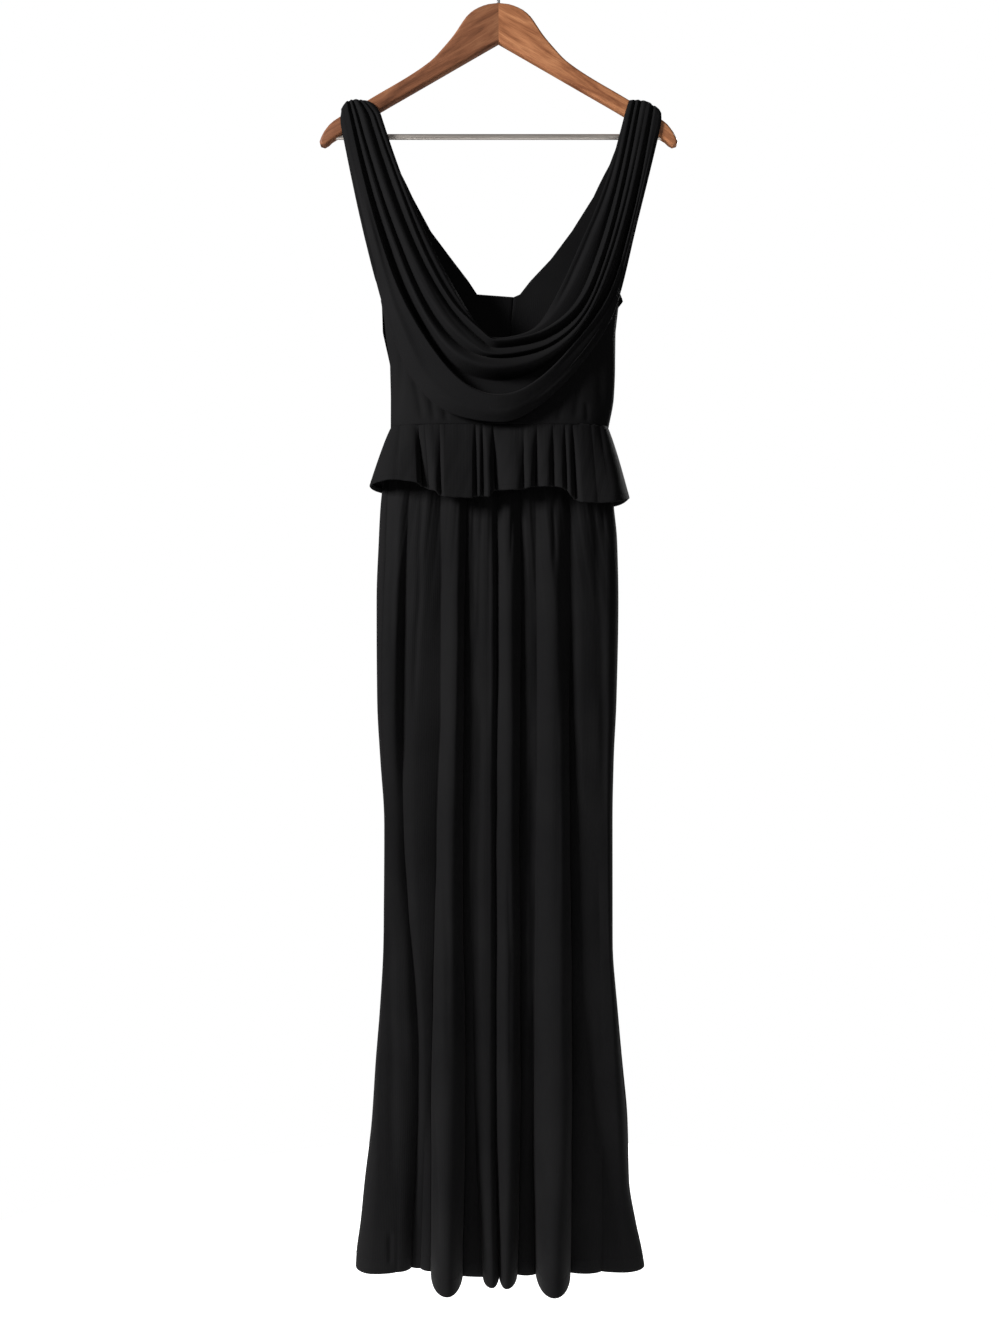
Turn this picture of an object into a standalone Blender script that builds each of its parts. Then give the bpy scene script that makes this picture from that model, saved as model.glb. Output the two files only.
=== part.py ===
"""Long cowl-neck dress with a peplum, hanging on a wooden hanger.

+Z is up, +X is to the right of someone looking at the dress's front, and the front faces -Y.
The origin is the crown of the hanger's hook, on the inside, where a rail bears.
Sizes below are in millimetres, and "out" is a distance from the dress's middle plane.
"""
from collections import namedtuple
import math

import bmesh
import bpy
from mathutils import Matrix, Vector
import numpy as np

MM = 0.001                      # metres in a millimetre

# ---- driving sizes ----------------------------------------------------------------------
WALL = 1.4                      # thickness of a cloth wall
SEAM = 0.4                      # gap between two pieces that are sewn together
APEX_Z = -72.0                  # top of the wooden hanger
ARM_THICK = 13.0                # hanger arm, front to back
ARM_BEVEL = 2.5
BAR_Z = -236.7                  # trouser bar's axis
BAR_R = 3.25
BAR_HALF = 209.0
SOCKET_CLEAR = 0.4              # gap round the bar's ends and the hook's stem
HOOK_WIRE_R = 1.9
HOOK_LOOP_R = 20.0              # inside of the hook's loop
STRAP_OUT = 9.0                 # strap's distance from the middle plane, at the hanger
STRAP_ROLL = 7.0                # height over which a strap rolls over the hanger's arm
STRAP_DRAW = 24.0               # height over which a strap's gathers draw in to its top
# Rise of each strap's gathered top over the arm: distances from the centre, then heights.
STRAP_BULGE = {-1: ([150, 160, 167, 177, 187, 193, 200], [-1, -0.5, 1, 7, 11, 8, 0]),
               1: ([150, 162, 171, 181, 190, 198, 205], [-1.2, -1.0, 3, 7.5, 9, 8, 1])}
# Each strap's middle at its top, and how far its inner and outer halves draw in to it.
STRAP_GATHER = {-1: (184.0, 0.40, 0.26), 1: (188.0, 0.05, 0.16)}
WAIST_Z = -600.0
UNDERARM_Z = -440.0
HEM_Z = -1638.0
WAIST_FRONT_OUT = 37.0
WAIST_BACK_OUT = 34.0

CLOTH_COLOUR = (0.009, 0.009, 0.010, 1.0)
WOOD_COLOUR = (0.30, 0.095, 0.035, 1.0)
STEEL_COLOUR = (0.42, 0.38, 0.35, 1.0)

# ---- tables -----------------------------------------------------------------------------
# Right hanger arm, seen from the front: distance from the centre, height under the apex.
ARM_TOP = [(0.2, 0), (12, -1.2), (21, -4), (31, -9), (40, -17), (47, -27), (55, -39), (70, -57),
           (84.5, -72), (161, -120), (199, -142.5), (208, -149), (214, -156), (219, -164), (222, -172)]
ARM_UNDERSIDE = [(221, -176), (218, -178), (214, -177), (207, -171), (199, -166), (175, -150.5),
                 (148, -134), (100, -106.2), (50, -77.3), (0.2, -48.5)]

# Sides of the body and skirt: height, half-width to the left, half-width to the right.
Side = namedtuple("Side", "z left right")
BODICE_SIDES = [Side(-600, 133.6, 136), Side(-560, 133.5, 143), Side(-520, 134.5, 144.5),
                Side(-490, 139, 144), Side(-462, 142, 146), Side(-440, 146, 150)]
SKIRT_SIDES = [Side(-1638, 177, 181), Side(-1583, 171, 170), Side(-1458, 157, 160),
               Side(-1310, 146, 147), Side(-1160, 141.5, 141), Side(-1011, 146, 142.5),
               Side(-812, 151, 148.5), Side(-693, 146, 142.5), Side(-600, 131.5, 134)]

# Folds of a skirt panel, from the wearer's right side seam: x at waist, knee and hem, and how
# far the fold stands out at waist, hip, knee and hem. Ridges and valleys take turns.
Fold = namedtuple("Fold", "x_waist x_knee x_hem waist hip knee hem")
SKIRT_FRONT_FOLDS = [
    Fold(-121, -131, -148, 32, 30, 30, 34), Fold(-105, -119, -110, 31, 24, 24, 14),
    Fold(-84, -100, -92, 35, 40, 36, 24), Fold(-72, -88, -80, 33, 31, 30, 19),
    Fold(-58, -67, -60, 35, 47, 50, 84), Fold(-40, -46, -35, 33, 22, 20, 22),
    Fold(-15, -14, -8, 35, 42, 44, 62), Fold(-3, -4, 0.6, 33, 20, 18, 28),
    Fold(11, 6, 10, 35, 42, 44, 62), Fold(29, 27, 34, 33, 22, 20, 22),
    Fold(59, 51, 63, 35, 47, 52, 86), Fold(86, 87, 91, 33, 24, 22, 22),
    Fold(101, 104, 111, 34, 35, 34, 20), Fold(112, 116, 127, 32, 30, 29, 10),
    Fold(121, 130, 163, 31, 30, 28, 34)]
SKIRT_BACK_FOLDS = [
    Fold(-116, -124, -146, 27, 27, 27, 34), Fold(-98, -108, -118, 28, 20, 20, 14),
    Fold(-76, -84, -88, 31, 40, 38, 58), Fold(-55, -60, -61, 29, 23, 21, 20),
    Fold(-34, -38, -33, 31, 41, 43, 74), Fold(-12, -16, -9, 29, 21, 20, 18),
    Fold(9, 8, 17, 31, 38, 42, 66), Fold(27, 30, 41, 29, 22, 20, 20),
    Fold(52, 54, 68, 31, 42, 44, 76), Fold(76, 80, 93, 29, 22, 20, 16),
    Fold(99, 106, 121, 30, 34, 34, 44), Fold(114, 122, 146, 28, 25, 23, 20)]
FOLD_LEVELS = [WAIST_Z, -937.0, -1086.0, HEM_Z]
X_LEVELS = [WAIST_Z, -1150.0, HEM_Z]

# Flutes of a peplum: x at the seam and at the hem, out at the hem, and length below the seam.
Flute = namedtuple("Flute", "x_seam x_hem out drop")
PEPLUM_FRONT_FLUTES = [
    Flute(-118, -128, 56, 67), Flute(-100, -90, 43, 69), Flute(-86, -79, 60, 79),
    Flute(-75, -69, 46, 81), Flute(-63, -49, 66, 91), Flute(-32, -29.5, 44, 89),
    Flute(-22, -16.5, 62, 90), Flute(-14, -6.5, 44, 80), Flute(7, 16, 61, 85),
    Flute(25, 30.5, 46, 84), Flute(35, 39, 57, 77), Flute(46, 50, 46, 75),
    Flute(58, 62.5, 60, 75), Flute(66.5, 70, 46, 79), Flute(73, 79, 59, 81),
    Flute(79, 86, 45, 87), Flute(97, 103, 61, 92), Flute(111, 117.5, 45, 95),
    Flute(121, 133, 54, 97)]
PEPLUM_BACK_FLUTES = [
    Flute(-117, -127, 52, 74), Flute(-98, -101, 42, 74), Flute(-80, -84, 60, 80),
    Flute(-62, -62, 42, 80), Flute(-43, -46, 62, 86), Flute(-22, -21, 43, 84),
    Flute(-3, -4, 60, 86), Flute(17, 19, 43, 84), Flute(37, 41, 63, 88),
    Flute(57, 58, 43, 86), Flute(78, 84, 61, 90), Flute(97, 101, 43, 90),
    Flute(118, 130, 52, 92)]
PEPLUM_SEAM_OUT = 38.5
PEPLUM_SIDE_FLARE = (23.0, 20.0)        # left and right side seam, seam to hem
PEPLUM_SIDE_DROP = (71.0, 88.0)

# Folds of the cowl, from its neck edge to its free lower edge. z and out are at the centre;
# left and right are half-widths at each COWL_STATIONS step up to the shoulder.
COWL_STATIONS = [0.0, 0.2, 0.4, 0.6, 0.8, 1.0]
CowlFold = namedtuple("CowlFold", "z out strap left right")
COWL_FOLDS = [
    CowlFold(-494, 32, 0.0, (21.5, 45.7, 78, 115, 151.5), (43, 68, 96, 131, 161)),
    CowlFold(-496, 36, 1.4, (21.5, 49, 82.5, 118, 155.5), (47, 81, 110, 141, 165)),
    CowlFold(-498, 38, 0.0, (21.3, 53, 87, 121, 159), (51, 94, 121, 145.5, 169)),
    CowlFold(-500, 44, 1.6, (21.2, 57, 91, 124.5, 162), (55, 99, 126, 150, 172.5)),
    CowlFold(-507.5, 38, -0.6, (22.5, 58, 94.5, 130, 166), (58, 102, 129.5, 153.5, 176)),
    CowlFold(-517, 48, 1.6, (30, 66, 102, 138, 173), (60, 103, 131, 157, 181)),
    CowlFold(-521, 43, -0.6, (41, 78, 111, 145, 179), (58, 102.5, 132.5, 159.5, 184)),
    CowlFold(-533.5, 56, 1.4, (46, 82, 115, 149, 182), (56, 101, 134, 162, 187.5)),
    CowlFold(-548, 38, -0.8, (51, 83, 118, 152.5, 185), (52, 93, 135, 165.5, 191)),
    CowlFold(-571, 60, 1.4, (40, 80, 122, 157, 188), (40, 86, 136, 167, 195.5)),
    CowlFold(-586, 58, 0.4, (52, 95, 131, 163, 193), (40, 86, 139, 168, 200)),
    CowlFold(-599, 50, -1.0, (66, 109, 140, 169, 198.5), (42, 92, 142, 170, 204))]
COWL_CLEAR = 2.6                # cowl's least distance in front of the bodice

# Back panels: height, neck or centre seam to the left and right, armhole or side edge.
BackRow = namedtuple("BackRow", "z neck_left neck_right side_left side_right")
BACK_ROWS = [
    BackRow(-600, 5, 5, 133.6, 136), BackRow(-560, 8, 8, 133.5, 143),
    BackRow(-520, 11, 11, 134.5, 144.5), BackRow(-480, 14, 14, 143.5, 145),
    BackRow(-449, 17, 17, 144.5, 148.5), BackRow(-441, 18, 18, 145.5, 154.5),
    BackRow(-430, 19, 19, 147, 149.5), BackRow(-425, -27, 27, 148, 149),
    BackRow(-409, -38, 40, 150, 147.5),
    BackRow(-382, -59, 66, 156, 152), BackRow(-348, -85, 92, 164, 161),
    BackRow(-306, -108, 119, 175, 171), BackRow(-270, -129, 139, 184, 181),
    BackRow(-243, -143, 149, 190, 190), BackRow(-222, -150, 156, 194.5, 197),
    BackRow(-203, -155, 162, 197, 201)]
NECK_ROW = 7                    # first back row above the centre seam


# ---- helpers ----------------------------------------------------------------------------
def smooth_curve(at, knots, values):
    """Values at the given places, on a smooth curve with no overshoot between its knots."""
    order = np.argsort(knots)
    knots = np.asarray(knots, float)[order]
    values = np.asarray(values, float)[order]
    step = np.diff(knots)
    slope = np.diff(values) / step
    tangent = np.zeros(len(knots))
    tangent[0], tangent[-1] = slope[0], slope[-1]
    for k in range(1, len(knots) - 1):
        if slope[k - 1] * slope[k] > 0:
            tangent[k] = 2 * slope[k - 1] * slope[k] / (slope[k - 1] + slope[k])
    at = np.clip(np.asarray(at, float), knots[0], knots[-1])
    k = np.clip(np.searchsorted(knots, at) - 1, 0, len(step) - 1)
    t = (at - knots[k]) / step[k]
    rise = values[k + 1] - values[k]
    return (values[k] + rise * t * t * (3 - 2 * t) + step[k] * tangent[k] * t * (1 - t) ** 2
            - step[k] * tangent[k + 1] * t * t * (1 - t))


def side_at(sides, z, column):
    """Half-width of a table of sides at one height."""
    return float(smooth_curve(z, [row.z for row in sides], [getattr(row, column) for row in sides]))


def roundness(s):
    """1 over the middle of a panel, falling to 0 where it turns into its side seam."""
    return math.sqrt(max(0.0, 1 - min(abs(s), 1.0) ** 4))


def material(name, colour, roughness, metallic):
    """A Principled material."""
    made = bpy.data.materials.new(name)
    made.use_nodes = True
    shader = made.node_tree.nodes["Principled BSDF"]
    shader.inputs["Base Color"].default_value = colour
    shader.inputs["Roughness"].default_value = roughness
    shader.inputs["Metallic"].default_value = metallic
    return made


def add_object(name, mesh, finish):
    """Link a mesh as one named object, shaded smooth except at sharp edges."""
    mesh.shade_smooth()
    mesh.set_sharp_from_angle(angle=math.radians(40))
    mesh.materials.append(finish)
    placed = bpy.data.objects.new(name, mesh)
    bpy.context.scene.collection.objects.link(placed)
    return placed


def cloth(name, grid, finish, level_rows=(), upright_rows=()):
    """A closed cloth wall round a grid of points in rows and columns.

    level_rows get a normal with no Z, so that they butt against a waist seam, and
    upright_rows one with no Y, so that they butt against a shoulder seam.
    """
    grid = np.array(grid, float)
    down = np.gradient(grid, axis=0)
    across = np.gradient(grid, axis=1)
    normal = np.cross(down, across)
    for row in level_rows:
        normal[row, :, 2] = 0
    for row in upright_rows:
        normal[row, :, 1] = 0
    normal /= np.linalg.norm(normal, axis=2, keepdims=True)
    rows, columns = grid.shape[:2]
    count = rows * columns
    points = np.concatenate([(grid + side * normal * WALL / 2).reshape(-1, 3) for side in (1, -1)])
    faces = []
    for r in range(rows - 1):
        for c in range(columns - 1):
            a, b = r * columns + c, r * columns + c + 1
            d, e = a + columns, b + columns
            faces += [(a, b, e), (a, e, d), (a + count, e + count, b + count),
                      (a + count, d + count, e + count)]
    rim = ([(0, c) for c in range(columns)] + [(r, columns - 1) for r in range(1, rows)]
           + [(rows - 1, c) for c in range(columns - 2, -1, -1)] + [(r, 0) for r in range(rows - 2, 0, -1)])
    for (r0, c0), (r1, c1) in zip(rim, rim[1:] + rim[:1]):
        a, b = r0 * columns + c0, r1 * columns + c1
        faces += [(a, a + count, b + count), (a, b + count, b)]
    mesh = bpy.data.meshes.new(name)
    mesh.from_pydata([tuple(p) for p in points * MM], [], faces)
    shell = bmesh.new()
    shell.from_mesh(mesh)
    bmesh.ops.recalc_face_normals(shell, faces=shell.faces)
    shell.to_mesh(mesh)
    shell.free()
    return add_object(name, mesh, finish)


def folded_section(left, right, knots, steepness, steps):
    """One level of a folded panel, as (x, out) pairs from its left seam to its right seam.

    The panel turns in from each seam on a quarter ellipse, and swings from knot to knot
    between. Steepness stands the walls of the folds up.
    """
    section = []
    for k in range(steps):
        turn = math.pi / 2 * k / steps
        section.append((left + (knots[0][0] - left) * (1 - math.cos(turn)),
                        SEAM / 2 + (knots[0][1] - SEAM / 2) * math.sin(turn)))
    for (x0, out0), (x1, out1) in zip(knots, knots[1:]):
        for k in range(steps):
            t = k / steps
            along = t + steepness * math.sin(2 * math.pi * t) / (2 * math.pi)
            section.append((x0 + (x1 - x0) * along, out0 + (out1 - out0) * (0.5 - 0.5 * math.cos(math.pi * t))))
    for k in range(steps + 1):
        turn = math.pi / 2 * (1 - k / steps)
        section.append((right + (knots[-1][0] - right) * (1 - math.cos(turn)),
                        SEAM / 2 + (knots[-1][1] - SEAM / 2) * math.sin(turn)))
    return section


# ---- skirt and peplum -------------------------------------------------------------------
def skirt_panel(name, folds, facing, finish):
    """One half of the skirt. facing is -1 for the front and 1 for the back."""
    levels = [WAIST_Z - SEAM, -690, -812, -1011, -1160, -1310, -1458, -1583, HEM_Z]
    grid = []
    for z in levels:
        knots = []
        for fold in folds:
            x = float(smooth_curve(z, X_LEVELS, [fold.x_waist, fold.x_knee, fold.x_hem]))
            out = float(smooth_curve(z, FOLD_LEVELS, [fold.waist, fold.hip, fold.knee, fold.hem]))
            knots.append((x, out))
        fallen = (WAIST_Z - z) / (WAIST_Z - HEM_Z)
        section = folded_section(-side_at(SKIRT_SIDES, z, "left"), side_at(SKIRT_SIDES, z, "right"),
                                 knots, 0.15 + 0.65 * fallen, 3)
        grid.append([(x, facing * out, z) for x, out in section])
    return cloth(name, grid, finish, level_rows=(0,))


def peplum_panel(name, flutes, facing, finish):
    """One half of the peplum: a short flared frill over the skirt's top."""
    left = side_at(BODICE_SIDES, WAIST_Z, "left") + 1.0
    right = side_at(BODICE_SIDES, WAIST_Z, "right") + 1.0
    grid = []
    for part in (0.0, 0.34, 0.67, 1.0):
        knots = [(f.x_seam + (f.x_hem - f.x_seam) * part,
                  PEPLUM_SEAM_OUT + (f.out - PEPLUM_SEAM_OUT) * part ** 0.8) for f in flutes]
        section = folded_section(-left - PEPLUM_SIDE_FLARE[0] * part, right + PEPLUM_SIDE_FLARE[1] * part,
                                 knots, 0.3 * part, 2)
        places = [-left] + [f.x_seam for f in flutes] + [right]
        drops = [PEPLUM_SIDE_DROP[0]] + [f.drop for f in flutes] + [PEPLUM_SIDE_DROP[1]]
        seam_x = np.linspace(0, len(places) - 1, len(section))
        fall = smooth_curve(seam_x, range(len(places)), drops)
        grid.append([(x, facing * out, WAIST_Z - SEAM - part * drop)
                     for (x, out), drop in zip(section, fall)])
    return cloth(name, grid, finish, level_rows=(0,))


# ---- bodice -----------------------------------------------------------------------------
def front_depth(z):
    """How far the front bodice stands out at its middle, by height."""
    return float(smooth_curve(z, [-600, -560, -515, -440], [WAIST_FRONT_OUT, 33.0, 30.0, 27.0]))


def bodice_out(x, z):
    """How far the front bodice stands out at any point of it."""
    half = side_at(BODICE_SIDES, z, "left" if x < 0 else "right")
    return front_depth(z) * roundness(x / half)


def front_bodice(finish):
    """The fitted front under the cowl, from the waist seam up to the underarms."""
    across, up = 26, 6
    grid = []
    for r in range(up + 1):
        row = []
        for c in range(across + 1):
            s = math.sin(math.pi * (c / across - 0.5))
            top = -516 + 76 * s * s
            z = WAIST_Z + SEAM + (top - WAIST_Z - SEAM) * r / up
            x = s * side_at(BODICE_SIDES, z, "left" if s < 0 else "right")
            row.append((x, -SEAM / 2 - front_depth(z) * roundness(s), z))
        grid.append(row)
    return cloth("front_bodice", grid, finish, level_rows=(0,))


def shoulder_z(x):
    """Height of a strap where its gathers bunch over the hanger's arm."""
    arm = APEX_Z - 120 - 0.592 * (abs(x) - 161) + 3.2
    return arm + float(smooth_curve(abs(x), *STRAP_BULGE[-1 if x < 0 else 1]))


def draw_in(x, z):
    """A strap's x, drawn in towards the strap's middle close to its top."""
    near = min(1.0, max(0.0, (z - (shoulder_z(x) - STRAP_DRAW)) / STRAP_DRAW)) ** 2
    middle, inner, outer = STRAP_GATHER[-1 if x < 0 else 1]
    away = abs(x) - middle
    return math.copysign(middle + away * (1 - near * (inner if away < 0 else outer)), x)


def roll_over(out, z, top):
    """Distance out, brought in to the shoulder seam as a strap rolls over the hanger's arm."""
    climb = min(1.0, max(0.0, (z - (top - STRAP_ROLL)) / STRAP_ROLL))
    return max(SEAM / 2, out * math.sqrt(max(0.0, 1 - climb * climb)))


def cowl_point(fold, w):
    """Centre-line point of one fold of the cowl, w from -1 at the left shoulder to 1."""
    widths = (0,) + (fold.left if w < 0 else fold.right)
    x = math.copysign(float(smooth_curve(abs(w), COWL_STATIONS, widths)), w)
    top = shoulder_z(draw_in(math.copysign(widths[-1], w), 0.0))
    z = fold.z + (top - fold.z) * w * w
    hang = (1 - abs(w) ** 1.6) ** 1.6
    out = fold.out * hang + (STRAP_OUT + fold.strap * (1.6 - abs(w)) + 5 * (1 - abs(w))) * (1 - hang)
    sewn = min(1.0, max(0.0, (-370 - z) / 60))
    out *= 1 - 0.65 * sewn * (1 - roundness(x / 150))
    if z < UNDERARM_Z:
        out = max(out, bodice_out(x, z) + COWL_CLEAR)
    x = draw_in(x, z)
    top = shoulder_z(x)
    z = min(z, top)
    return x, -roll_over(out, z, top), z


def front_cowl(finish):
    """The draped front: straps gathered at the shoulders, nested folds, and a free lower edge."""
    half = [0.08, 0.16, 0.24, 0.32, 0.4, 0.48, 0.56, 0.64, 0.73, 0.82, 0.9, 0.96, 0.986, 0.994, 0.998, 1.0]
    places = [-w for w in reversed(half)] + [0.0] + half
    grid = [[cowl_point(fold, w) for w in places] for fold in COWL_FOLDS]
    transposed = [list(column) for column in zip(*grid)]
    return cloth("front_cowl", transposed, finish, upright_rows=(0, len(places) - 1))


def back_panel(name, side, finish):
    """Half of the back with its strap: side is "left" or "right"."""
    sign = -1 if side == "left" else 1
    columns = 9
    grid = []
    rows = BACK_ROWS[:-1] + [BACK_ROWS[-1]] * 4
    rises = [0.0] * (len(BACK_ROWS) - 1) + [0.0, 0.5, 0.85, 1.0]
    for index, (row, rise) in enumerate(zip(rows, rises)):
        neck = getattr(row, "neck_" + side)
        if index < NECK_ROW:
            neck += sign * SEAM / 2
        edge = sign * getattr(row, "side_" + side)
        points = []
        for c in range(columns + 1):
            x = neck + (edge - neck) * math.sin(math.pi / 2 * c / columns)
            z = row.z
            sloping = min(1.0, max(0.0, (row.z + 306) / 100))
            z += sloping * (shoulder_z(x) - shoulder_z(sign * 180))
            at_top = index >= len(BACK_ROWS) - 1
            x = draw_in(x, shoulder_z(x) if at_top else z)
            top = shoulder_z(x) - 0.4
            z = top - STRAP_ROLL * (1 - rise) if at_top else min(z, top - STRAP_ROLL)
            depth = float(smooth_curve(row.z, [-600, -500, -420, -300, -212],
                                       [WAIST_BACK_OUT, 28, 25, 15, STRAP_OUT]))
            sewn = min(1.0, max(0.0, (-380 - row.z) / 50))
            out = depth * (sewn * roundness(x / abs(edge)) + 1 - sewn)
            points.append((x, SEAM / 2 + roll_over(out, z, top), z))
        grid.append(points)
    grid[0] = [(x, y, WAIST_Z + SEAM) for x, y, z in grid[0]]
    return cloth(name, grid, finish, level_rows=(0,), upright_rows=(len(grid) - 1,))


# ---- hanger -----------------------------------------------------------------------------
def cylinder_cutter(name, radius, start, end):
    """A hidden cylinder between two points, for a Boolean."""
    start, end = Vector(start) * MM, Vector(end) * MM
    cutter = bmesh.new()
    along = end - start
    turn = along.to_track_quat("Z", "Y").to_matrix().to_4x4()
    bmesh.ops.create_cone(cutter, cap_ends=True, segments=24, radius1=radius * MM, radius2=radius * MM,
                          depth=along.length, matrix=Matrix.Translation((start + end) / 2) @ turn)
    mesh = bpy.data.meshes.new(name)
    cutter.to_mesh(mesh)
    cutter.free()
    placed = bpy.data.objects.new(name, mesh)
    placed.hide_render = True
    placed.display_type = "WIRE"
    bpy.context.scene.collection.objects.link(placed)
    return placed


def cut(target, cutter):
    """Subtract a cutter from an object."""
    modifier = target.modifiers.new("cut_" + cutter.name, "BOOLEAN")
    modifier.operation = "DIFFERENCE"
    modifier.object = cutter


def hanger_arm(side, finish, cutters):
    """One wooden arm: its outline extruded and bevelled, with sockets for the bar and hook."""
    sign = -1 if side == "left" else 1
    outline = ARM_TOP + ARM_UNDERSIDE
    arm = bmesh.new()
    ring = [arm.verts.new((sign * x * MM, -ARM_THICK / 2 * MM, (APEX_Z + z) * MM)) for x, z in outline]
    face = arm.faces.new(ring)
    extruded = bmesh.ops.extrude_face_region(arm, geom=[face])
    moved = [v for v in extruded["geom"] if isinstance(v, bmesh.types.BMVert)]
    bmesh.ops.translate(arm, verts=moved, vec=(0, ARM_THICK * MM, 0))
    bmesh.ops.recalc_face_normals(arm, faces=arm.faces)
    long_edges = [e for e in arm.edges if abs(e.verts[0].co.y - e.verts[1].co.y) < 1e-6
                  and max(abs(e.verts[0].co.x), abs(e.verts[1].co.x)) > 0.001]
    bmesh.ops.bevel(arm, geom=long_edges, offset=ARM_BEVEL * MM, segments=2, profile=0.5,
                    affect="EDGES", clamp_overlap=True)
    mesh = bpy.data.meshes.new("hanger_arm_" + side)
    arm.to_mesh(mesh)
    arm.free()
    placed = add_object("hanger_arm_" + side, mesh, finish)
    for cutter in cutters:
        cut(placed, cutter)


def tube(name, route, radius, sides, finish):
    """A round wire along a route, with filled ends."""
    curve = bpy.data.curves.new(name, "CURVE")
    curve.dimensions = "3D"
    curve.bevel_depth = radius * MM
    curve.bevel_resolution = sides
    curve.use_fill_caps = True
    spline = curve.splines.new("POLY")
    spline.points.add(len(route) - 1)
    for point, (x, y, z) in zip(spline.points, route):
        point.co = (x * MM, y * MM, z * MM, 1)
    placed = bpy.data.objects.new(name, curve)
    curve.materials.append(finish)
    bpy.context.scene.collection.objects.link(placed)


def hook_route():
    """The hook's wire: up from the wood, sideways into a loop, and round over the rail."""
    middle = HOOK_LOOP_R + HOOK_WIRE_R
    stem = [(0, APEX_Z - 12), (0, APEX_Z + 4), (0.2, -62), (1.4, -55), (4.4, -48.6), (8.8, -43.2)]
    first, last = math.radians(-50), math.radians(200)
    loop = [(middle * math.cos(a), -HOOK_LOOP_R + middle * math.sin(a))
            for a in np.linspace(first, last, 26)]
    return [(x, 0, z) for x, z in stem + loop]


def hanger(wood, steel):
    """Two mitred arms, the trouser bar and the hook."""
    bar_cutter = cylinder_cutter("bar_sockets", BAR_R + SOCKET_CLEAR, (-BAR_HALF - SOCKET_CLEAR, 0, BAR_Z),
                                 (BAR_HALF + SOCKET_CLEAR, 0, BAR_Z))
    hook_cutter = cylinder_cutter("hook_socket", HOOK_WIRE_R + SOCKET_CLEAR,
                                  (0, 0, APEX_Z - 12 - SOCKET_CLEAR), (0, 0, APEX_Z + 10))
    for side in ("left", "right"):
        hanger_arm(side, wood, (bar_cutter, hook_cutter))
    tube("trouser_bar", [(x, 0, BAR_Z) for x in (-BAR_HALF, 0, BAR_HALF)], BAR_R, 6, steel)
    tube("hanger_hook", hook_route(), HOOK_WIRE_R, 3, steel)


def main():
    for old in list(bpy.data.objects):
        bpy.data.objects.remove(old)
    jersey = material("black_jersey", CLOTH_COLOUR, 0.85, 0.0)
    wood = material("hanger_wood", WOOD_COLOUR, 0.4, 0.0)
    steel = material("hanger_steel", STEEL_COLOUR, 0.35, 1.0)
    hanger(wood, steel)
    skirt_panel("skirt_front", SKIRT_FRONT_FOLDS, -1, jersey)
    skirt_panel("skirt_back", SKIRT_BACK_FOLDS, 1, jersey)
    peplum_panel("peplum_front", PEPLUM_FRONT_FLUTES, -1, jersey)
    peplum_panel("peplum_back", PEPLUM_BACK_FLUTES, 1, jersey)
    front_bodice(jersey)
    front_cowl(jersey)
    back_panel("back_bodice_left", "left", jersey)
    back_panel("back_bodice_right", "right", jersey)


main()
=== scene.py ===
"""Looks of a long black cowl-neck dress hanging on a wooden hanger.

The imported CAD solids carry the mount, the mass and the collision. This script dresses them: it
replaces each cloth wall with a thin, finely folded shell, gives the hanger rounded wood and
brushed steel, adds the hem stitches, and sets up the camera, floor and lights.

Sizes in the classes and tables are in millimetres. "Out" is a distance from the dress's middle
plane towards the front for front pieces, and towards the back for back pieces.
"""
from dataclasses import dataclass
from enum import Enum
import logging
import math
from typing import Sequence

import bmesh
import bpy
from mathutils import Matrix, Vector
import numpy as np


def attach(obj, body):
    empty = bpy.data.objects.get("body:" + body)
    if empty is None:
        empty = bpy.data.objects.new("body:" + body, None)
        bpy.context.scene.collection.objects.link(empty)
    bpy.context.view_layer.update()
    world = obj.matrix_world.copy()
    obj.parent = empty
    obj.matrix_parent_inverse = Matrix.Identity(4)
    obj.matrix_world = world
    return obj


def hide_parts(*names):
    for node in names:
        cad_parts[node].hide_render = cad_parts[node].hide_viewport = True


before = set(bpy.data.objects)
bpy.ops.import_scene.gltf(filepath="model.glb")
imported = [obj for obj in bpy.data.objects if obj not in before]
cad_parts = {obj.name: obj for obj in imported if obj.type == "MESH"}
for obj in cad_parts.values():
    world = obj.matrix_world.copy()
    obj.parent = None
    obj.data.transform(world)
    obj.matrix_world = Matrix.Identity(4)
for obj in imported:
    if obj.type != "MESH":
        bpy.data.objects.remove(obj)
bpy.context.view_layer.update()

Array = np.ndarray
Values = np.ndarray | float
Piece = bpy.types.Object
Material = bpy.types.Material
Socket = bpy.types.NodeSocket

LOG = logging.getLogger("dress")
MM = 0.001
BODY = "root"


# ---- sizes that several sub-assemblies share --------------------------------------------
WAIST_Z = -600.0
UNDERARM_Z = -440.0
HEM_Z = -1638.0
APEX_Z = -72.0                  # top of the wooden hanger
STRAP_TOP = -203.0
STRAP_OUT = 9.0
STRAP_ROLL = 7.0
WALL = 0.9                      # thickness of the cloth
COWL_CLEAR = 2.2                # gap that keeps the cowl off the bodice under it
STITCH_LIFT = 0.05
TALL_FOLD = 16.0                # walls at least this deep stand fully upright


class Facing(Enum):
    """Which way a panel faces, as the sign of its Y."""

    FRONT = -1
    BACK = 1


class Flank(Enum):
    """Left or right, as someone looking at the dress's front sees it."""

    LEFT = -1
    RIGHT = 1


@dataclass(frozen=True)
class Side:
    """Half-widths of the dress at one height."""

    z: float
    left: float
    right: float


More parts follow.
